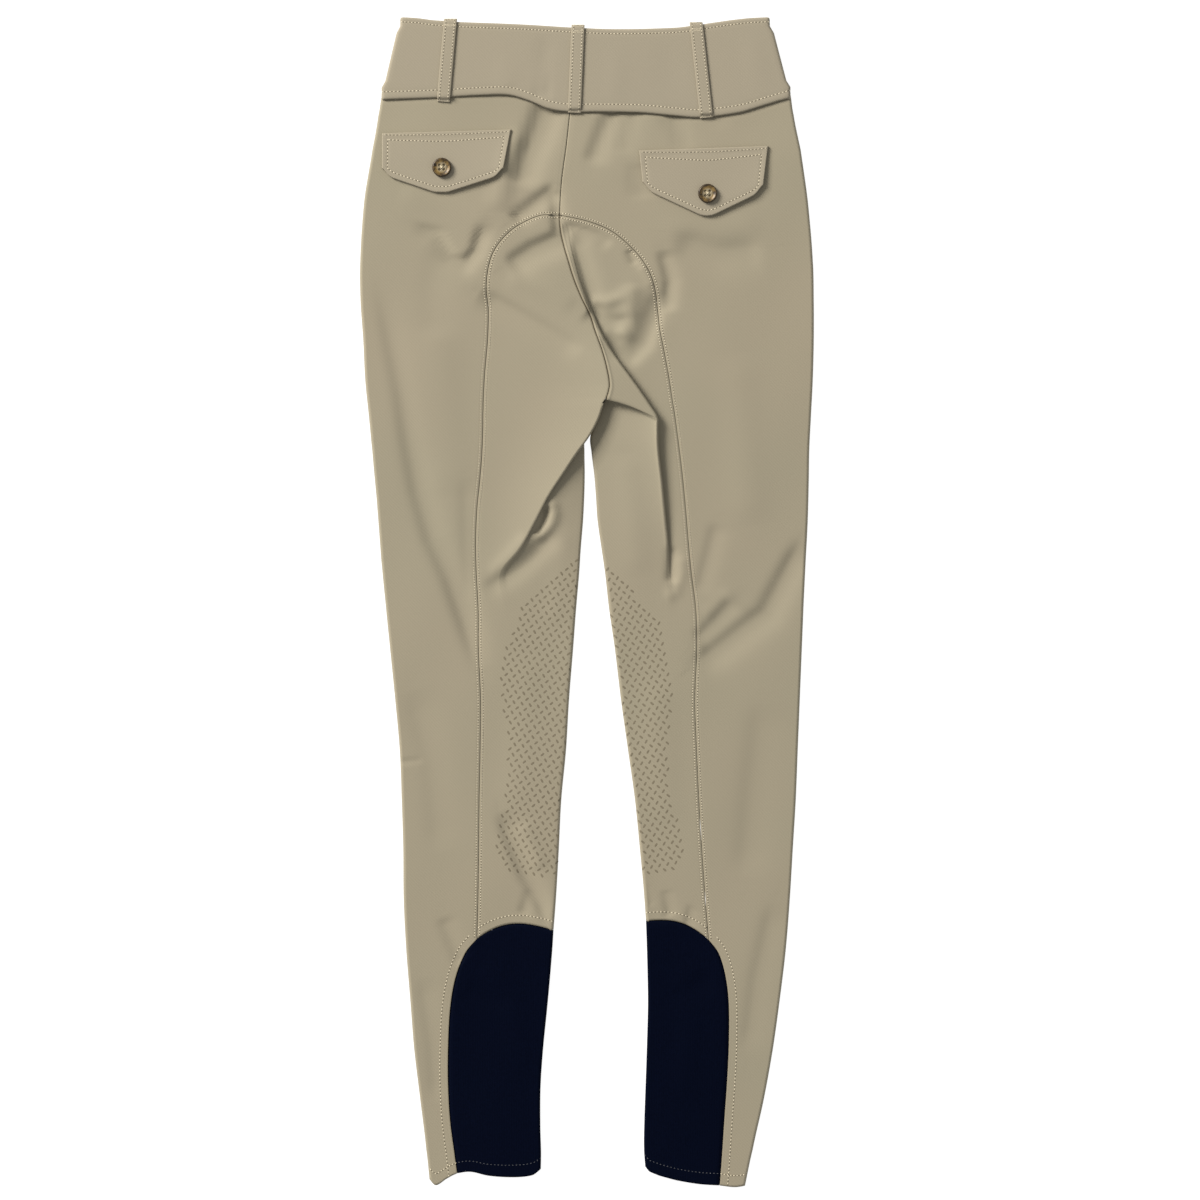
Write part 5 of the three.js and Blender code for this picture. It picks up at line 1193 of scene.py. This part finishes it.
for name, (foot, head) in LOOPS.items():
    at = np.linspace(0, len(LOOP_PATH["z"]) - 1, 70)
    end, above, z = (smooth(LOOP_PATH[key], at) for key in ("end", "above", "z"))
    y = mix(foot[1], head[1], end) + above
    middle = np.stack([mix(foot[0], head[0], (y - foot[1]) / (head[1] - foot[1])), y, z], -1)
    loop = strap(f"loop_{name}", middle)
    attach(loop, "root")
    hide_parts(f"loop_{name}")
    # Two rows along the loop, and a bar tack of two close rows across it just below its head.
    line = middle[:, :2]
    tack = line[-1] + (line[0] - line[-1]) * 0.07
    tack_rows = [np.array([tack + (-4.6, dy), tack + (4.6, dy)]) for dy in (0, -1.1)]
    sew(f"stitching_loop_{name}", surface_of(loop),
        [*lockstitch(beside(line, 3.3), 2.6, 0.75), *lockstitch(beside(line, -3.5), 2.6, 0.75),
         *[(row, 0.55, (1.1, 0.5, 0.25), 0, 0.5, False) for row in tack_rows]],
        [khaki_thread, painted_hole_shadow])

for side, x in FRONT_LOOP_X.items():
    y = np.linspace(look_up(WAIST_SEAM, "x", "y", x) + 3, look_up(BAND_EDGE, "x", "y", x) - 0.5, 12)
    height = np.full(12, LOOP_WALL / 2 + 0.02)
    loop = strap(f"loop_front_{side}", np.stack([np.full(12, float(x)), y, height], -1))
    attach(loop, "root")
    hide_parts(f"loop_front_{side}")

# Pocket flaps, left and right: two layers of band cloth with a blunt point, sewn down along the top,
# stitched all round, their lower corner a little lifted.
FLAPS = {
    "left": dict(top_left=(-164, 375.4), top_right=(-60.6, 378.4), low_left=(-164, 342),
                 low_right=(-66.6, 342), tip=(-116.8, 326), button=(-116, 347.6), lift=1.6),
    "right": dict(top_left=(41.6, 361.6), top_right=(145, 365.2), low_left=(44.4, 331),
                  low_right=(141, 328.6), tip=(96, 307), button=(96.4, 326.8), lift=1.2),
}
FLAP_WALL, FLAP_CLEARANCE = 1.8, 0.5
FLAP_ROWS, FLAP_COLUMNS = 30, 72
FLAP_STITCH = 4.7
FLAP_FOLLOW = 0.55      # share of the back's folds that a flap follows


def flap_plan(shape, f, down):
    """A flap in plan: shares across and down between its top edge and its lower edge, which runs in two
    straight sides to a blunt point (a low bell) with rounded corners (two narrow bells)."""
    tip = (shape["tip"][0] - shape["low_left"][0]) / (shape["low_right"][0] - shape["low_left"][0])
    low = np.interp(f, [0, tip, 1], [shape["low_left"][1], shape["tip"][1], shape["low_right"][1]])
    low = low + 1.5 * np.exp(-(((f - tip) / 0.035) ** 2))
    low = low + 5 * (np.exp(-((f / 0.05) ** 2)) + np.exp(-(((1 - f) / 0.05) ** 2)))
    top_x, top_y = (mix(shape["top_left"][k], shape["top_right"][k], f) for k in (0, 1))
    low_x = mix(shape["low_left"][0], shape["low_right"][0], f)
    return mix(top_x, low_x, down), mix(top_y, low, down)


def flap_under(side, x, y, f, down):
    """Height of a flap's lower face: clear of the back's folds, and lifted towards its free right corner."""
    folds = FLAP_FOLLOW * crease_height(x, y)
    return loft(y) + folds + FLAP_CLEARANCE + FLAPS[side]["lift"] * ease(down) * f * f


for side, shape in FLAPS.items():
    f, down = np.meshgrid(spread(FLAP_COLUMNS, 0.14), spread(FLAP_ROWS, 0.14))
    x, y = flap_plan(shape, f, down)
    width = shape["top_right"][0] - shape["top_left"][0]
    high = np.abs(y[0] - y[-1])[None]
    from_rim = np.minimum(np.minimum(f, 1 - f) * width, np.minimum(down, 1 - down) * high)
    rounded = np.sqrt(np.clip(1 - (1 - np.clip(from_rim / 0.8, 0, 1)) ** 2, 0, 1))
    pressed = 0.2 * np.exp(-(((from_rim - FLAP_STITCH) / 0.9) ** 2))
    under = flap_under(side, x, y, f, down)
    top = under + FLAP_WALL * rounded - pressed
    points = np.concatenate([np.stack([x, y, top], -1), np.stack([x, y, under], -1)]).reshape(-1, 3)
    faces = grid_faces(*f.shape)
    faces = np.concatenate([faces[:, ::-1], faces + f.size])
    piece = outward(make_piece(f"flap_{side}", points, faces, [band_twill_painted_light]))
    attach(piece, "root")
    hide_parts(f"flap_{side}")
    # One row of stitches all round, and one close under the top edge.
    across = np.linspace(FLAP_STITCH / width, 1 - FLAP_STITCH / width, 60)
    top_row = np.stack(flap_plan(shape, across, np.full(60, FLAP_STITCH / high.min())), -1)
    low_row = np.stack(flap_plan(shape, across, 1 - FLAP_STITCH / np.interp(across, f[0], high[0])), -1)
    rows = [*lockstitch(np.concatenate([top_row, low_row[::-1], top_row[:1]]), 2.9)]
    rim_row = np.stack(flap_plan(shape, np.linspace(0.01, 0.99, 60), np.full(60, 1.6 / high.min())), -1)
    rows += [*lockstitch(rim_row, 2.9, 0.6)]
    sew(f"stitching_flap_{side}", surface_of(piece), rows, [khaki_thread, painted_hole_shadow])

# Buttons, left and right: polished four-hole horn buttons with a raised rim, sewn with a cross of
# cream thread through the buttonhole of each flap.
BUTTON_RADIUS = 7.6
HOLE_RADIUS, HOLE_OFFSET = 0.9, 1.7
SHANK = 0.25            # thread between the flap and a button
BUTTON_COLUMNS = 48
# Height of a button's upper face over its foot, from the middle to the rim.
BUTTON_PROFILE = table("r z", [[0, 1.9], [3.6, 1.92], [5.0, 2.05], [5.6, 2.5], [6.2, 2.9], [6.7, 3.0],
                               [7.2, 2.75], [7.5, 2.2], [7.6, 1.6]])
# Horn: a pale grey middle, amber with dark brown clouds round it and a dark rim, softly polished.
polished_horn, tree = new_material("polished_horn")
place = add_node(tree, "ShaderNodeTexCoord").outputs["Object"]
clouds = add_node(tree, "ShaderNodeTexNoise", {"Vector": place, "Scale": 190.0, "Detail": 3.0,
                                               "Distortion": 1.5})
from_middle = add_node(tree, "ShaderNodeAttribute", attribute_name="out").outputs["Fac"]
dark_share = add_node(tree, "ShaderNodeMapRange", {"Value": clouds.outputs["Fac"], "From Min": 0.42,
                                                   "From Max": 0.6})
amber = add_node(tree, "ShaderNodeMix", {"Factor": dark_share.outputs["Result"], "A": linear("#33260f"),
                                         "B": linear("#7c6436")}, data_type="RGBA")
rim_share = add_node(tree, "ShaderNodeMapRange", {"Value": from_middle, "From Min": 0.72,
                                                  "From Max": 0.98})
ringed = add_node(tree, "ShaderNodeMix", {"Factor": rim_share.outputs["Result"], "A": amber.outputs["Result"],
                                          "B": linear("#2a1e10")}, data_type="RGBA")
middle_share = add_node(tree, "ShaderNodeMapRange", {"Value": from_middle, "From Min": 0.62,
                                                     "From Max": 0.38})
mottled = add_node(tree, "ShaderNodeMix", {"Factor": middle_share.outputs["Result"],
                                           "A": ringed.outputs["Result"], "B": linear("#867b62")},
                   data_type="RGBA")
surface = add_node(tree, "ShaderNodeBsdfPrincipled", {"Base Color": mottled.outputs["Result"],
                                                      "Roughness": 0.42, "Specular IOR Level": 0.45})
add_node(tree, "ShaderNodeOutputMaterial", {"Surface": surface.outputs["BSDF"]})
cream_thread = spun_thread("cream_button_thread", "#cfc4a8")

for side, shape in FLAPS.items():
    x0, y0 = shape["button"]
    # It stands on its flap, which rises there by about a fifth of its corner's lift.
    folds = FLAP_FOLLOW * crease_height(np.array(x0), np.array(y0))
    base = float(loft(y0) + folds) + FLAP_CLEARANCE + FLAP_WALL + SHANK + 0.2 * shape["lift"]
    to_rim = BUTTON_RADIUS * np.sin(np.linspace(0.52, 0.5 * np.pi, 14))
    around = np.linspace(0, 2 * np.pi, BUTTON_COLUMNS, endpoint=False)
    r, a = np.meshgrid(np.concatenate([np.linspace(0.001, 3.6, 15), to_rim]), around, indexing="ij")
    x, y = r * np.cos(a), r * np.sin(a)
    z = np.interp(r, BUTTON_PROFILE["r"], BUTTON_PROFILE["z"])
    to_hole = np.hypot(np.abs(x) - HOLE_OFFSET, np.abs(y) - HOLE_OFFSET)
    z = z - 1.5 * ease((HOLE_RADIUS + 0.25 - to_hole) / 0.5)
    foot = np.zeros(BUTTON_COLUMNS)
    rim = np.stack([x[-1], y[-1], foot + 0.6], -1)
    foot_ring = np.stack([0.85 * x[-1], 0.85 * y[-1], foot], -1)
    centre = np.stack([foot, foot, foot], -1)
    grid = np.concatenate([np.stack([x, y, z], -1), rim[None], foot_ring[None], centre[None]])
    out = np.hypot(grid[..., 0], grid[..., 1]).ravel() / BUTTON_RADIUS
    points = grid.reshape(-1, 3) + (x0, y0, base)
    faces = grid_faces(*grid.shape[:2], closed=True)
    button = outward(make_piece(f"button_{side}", points, faces, [polished_horn], {"out": out}))
    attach(button, "root")
    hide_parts(f"button_{side}")
    centres = np.array([(x0, y0, base + 1.75)] * 2)
    upright = np.array([(0.0, 0.0, 1.0)] * 2)
    corner, face = copies(STITCH_CORNERS, STITCH_FACES, centres, upright, np.array([(1.0, 1.0), (1.0, -1.0)]),
                          (5.4, 0.9, 0.75))
    cross = make_piece(f"thread_button_{side}", corner, face, [cream_thread])
    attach(cross, "root")
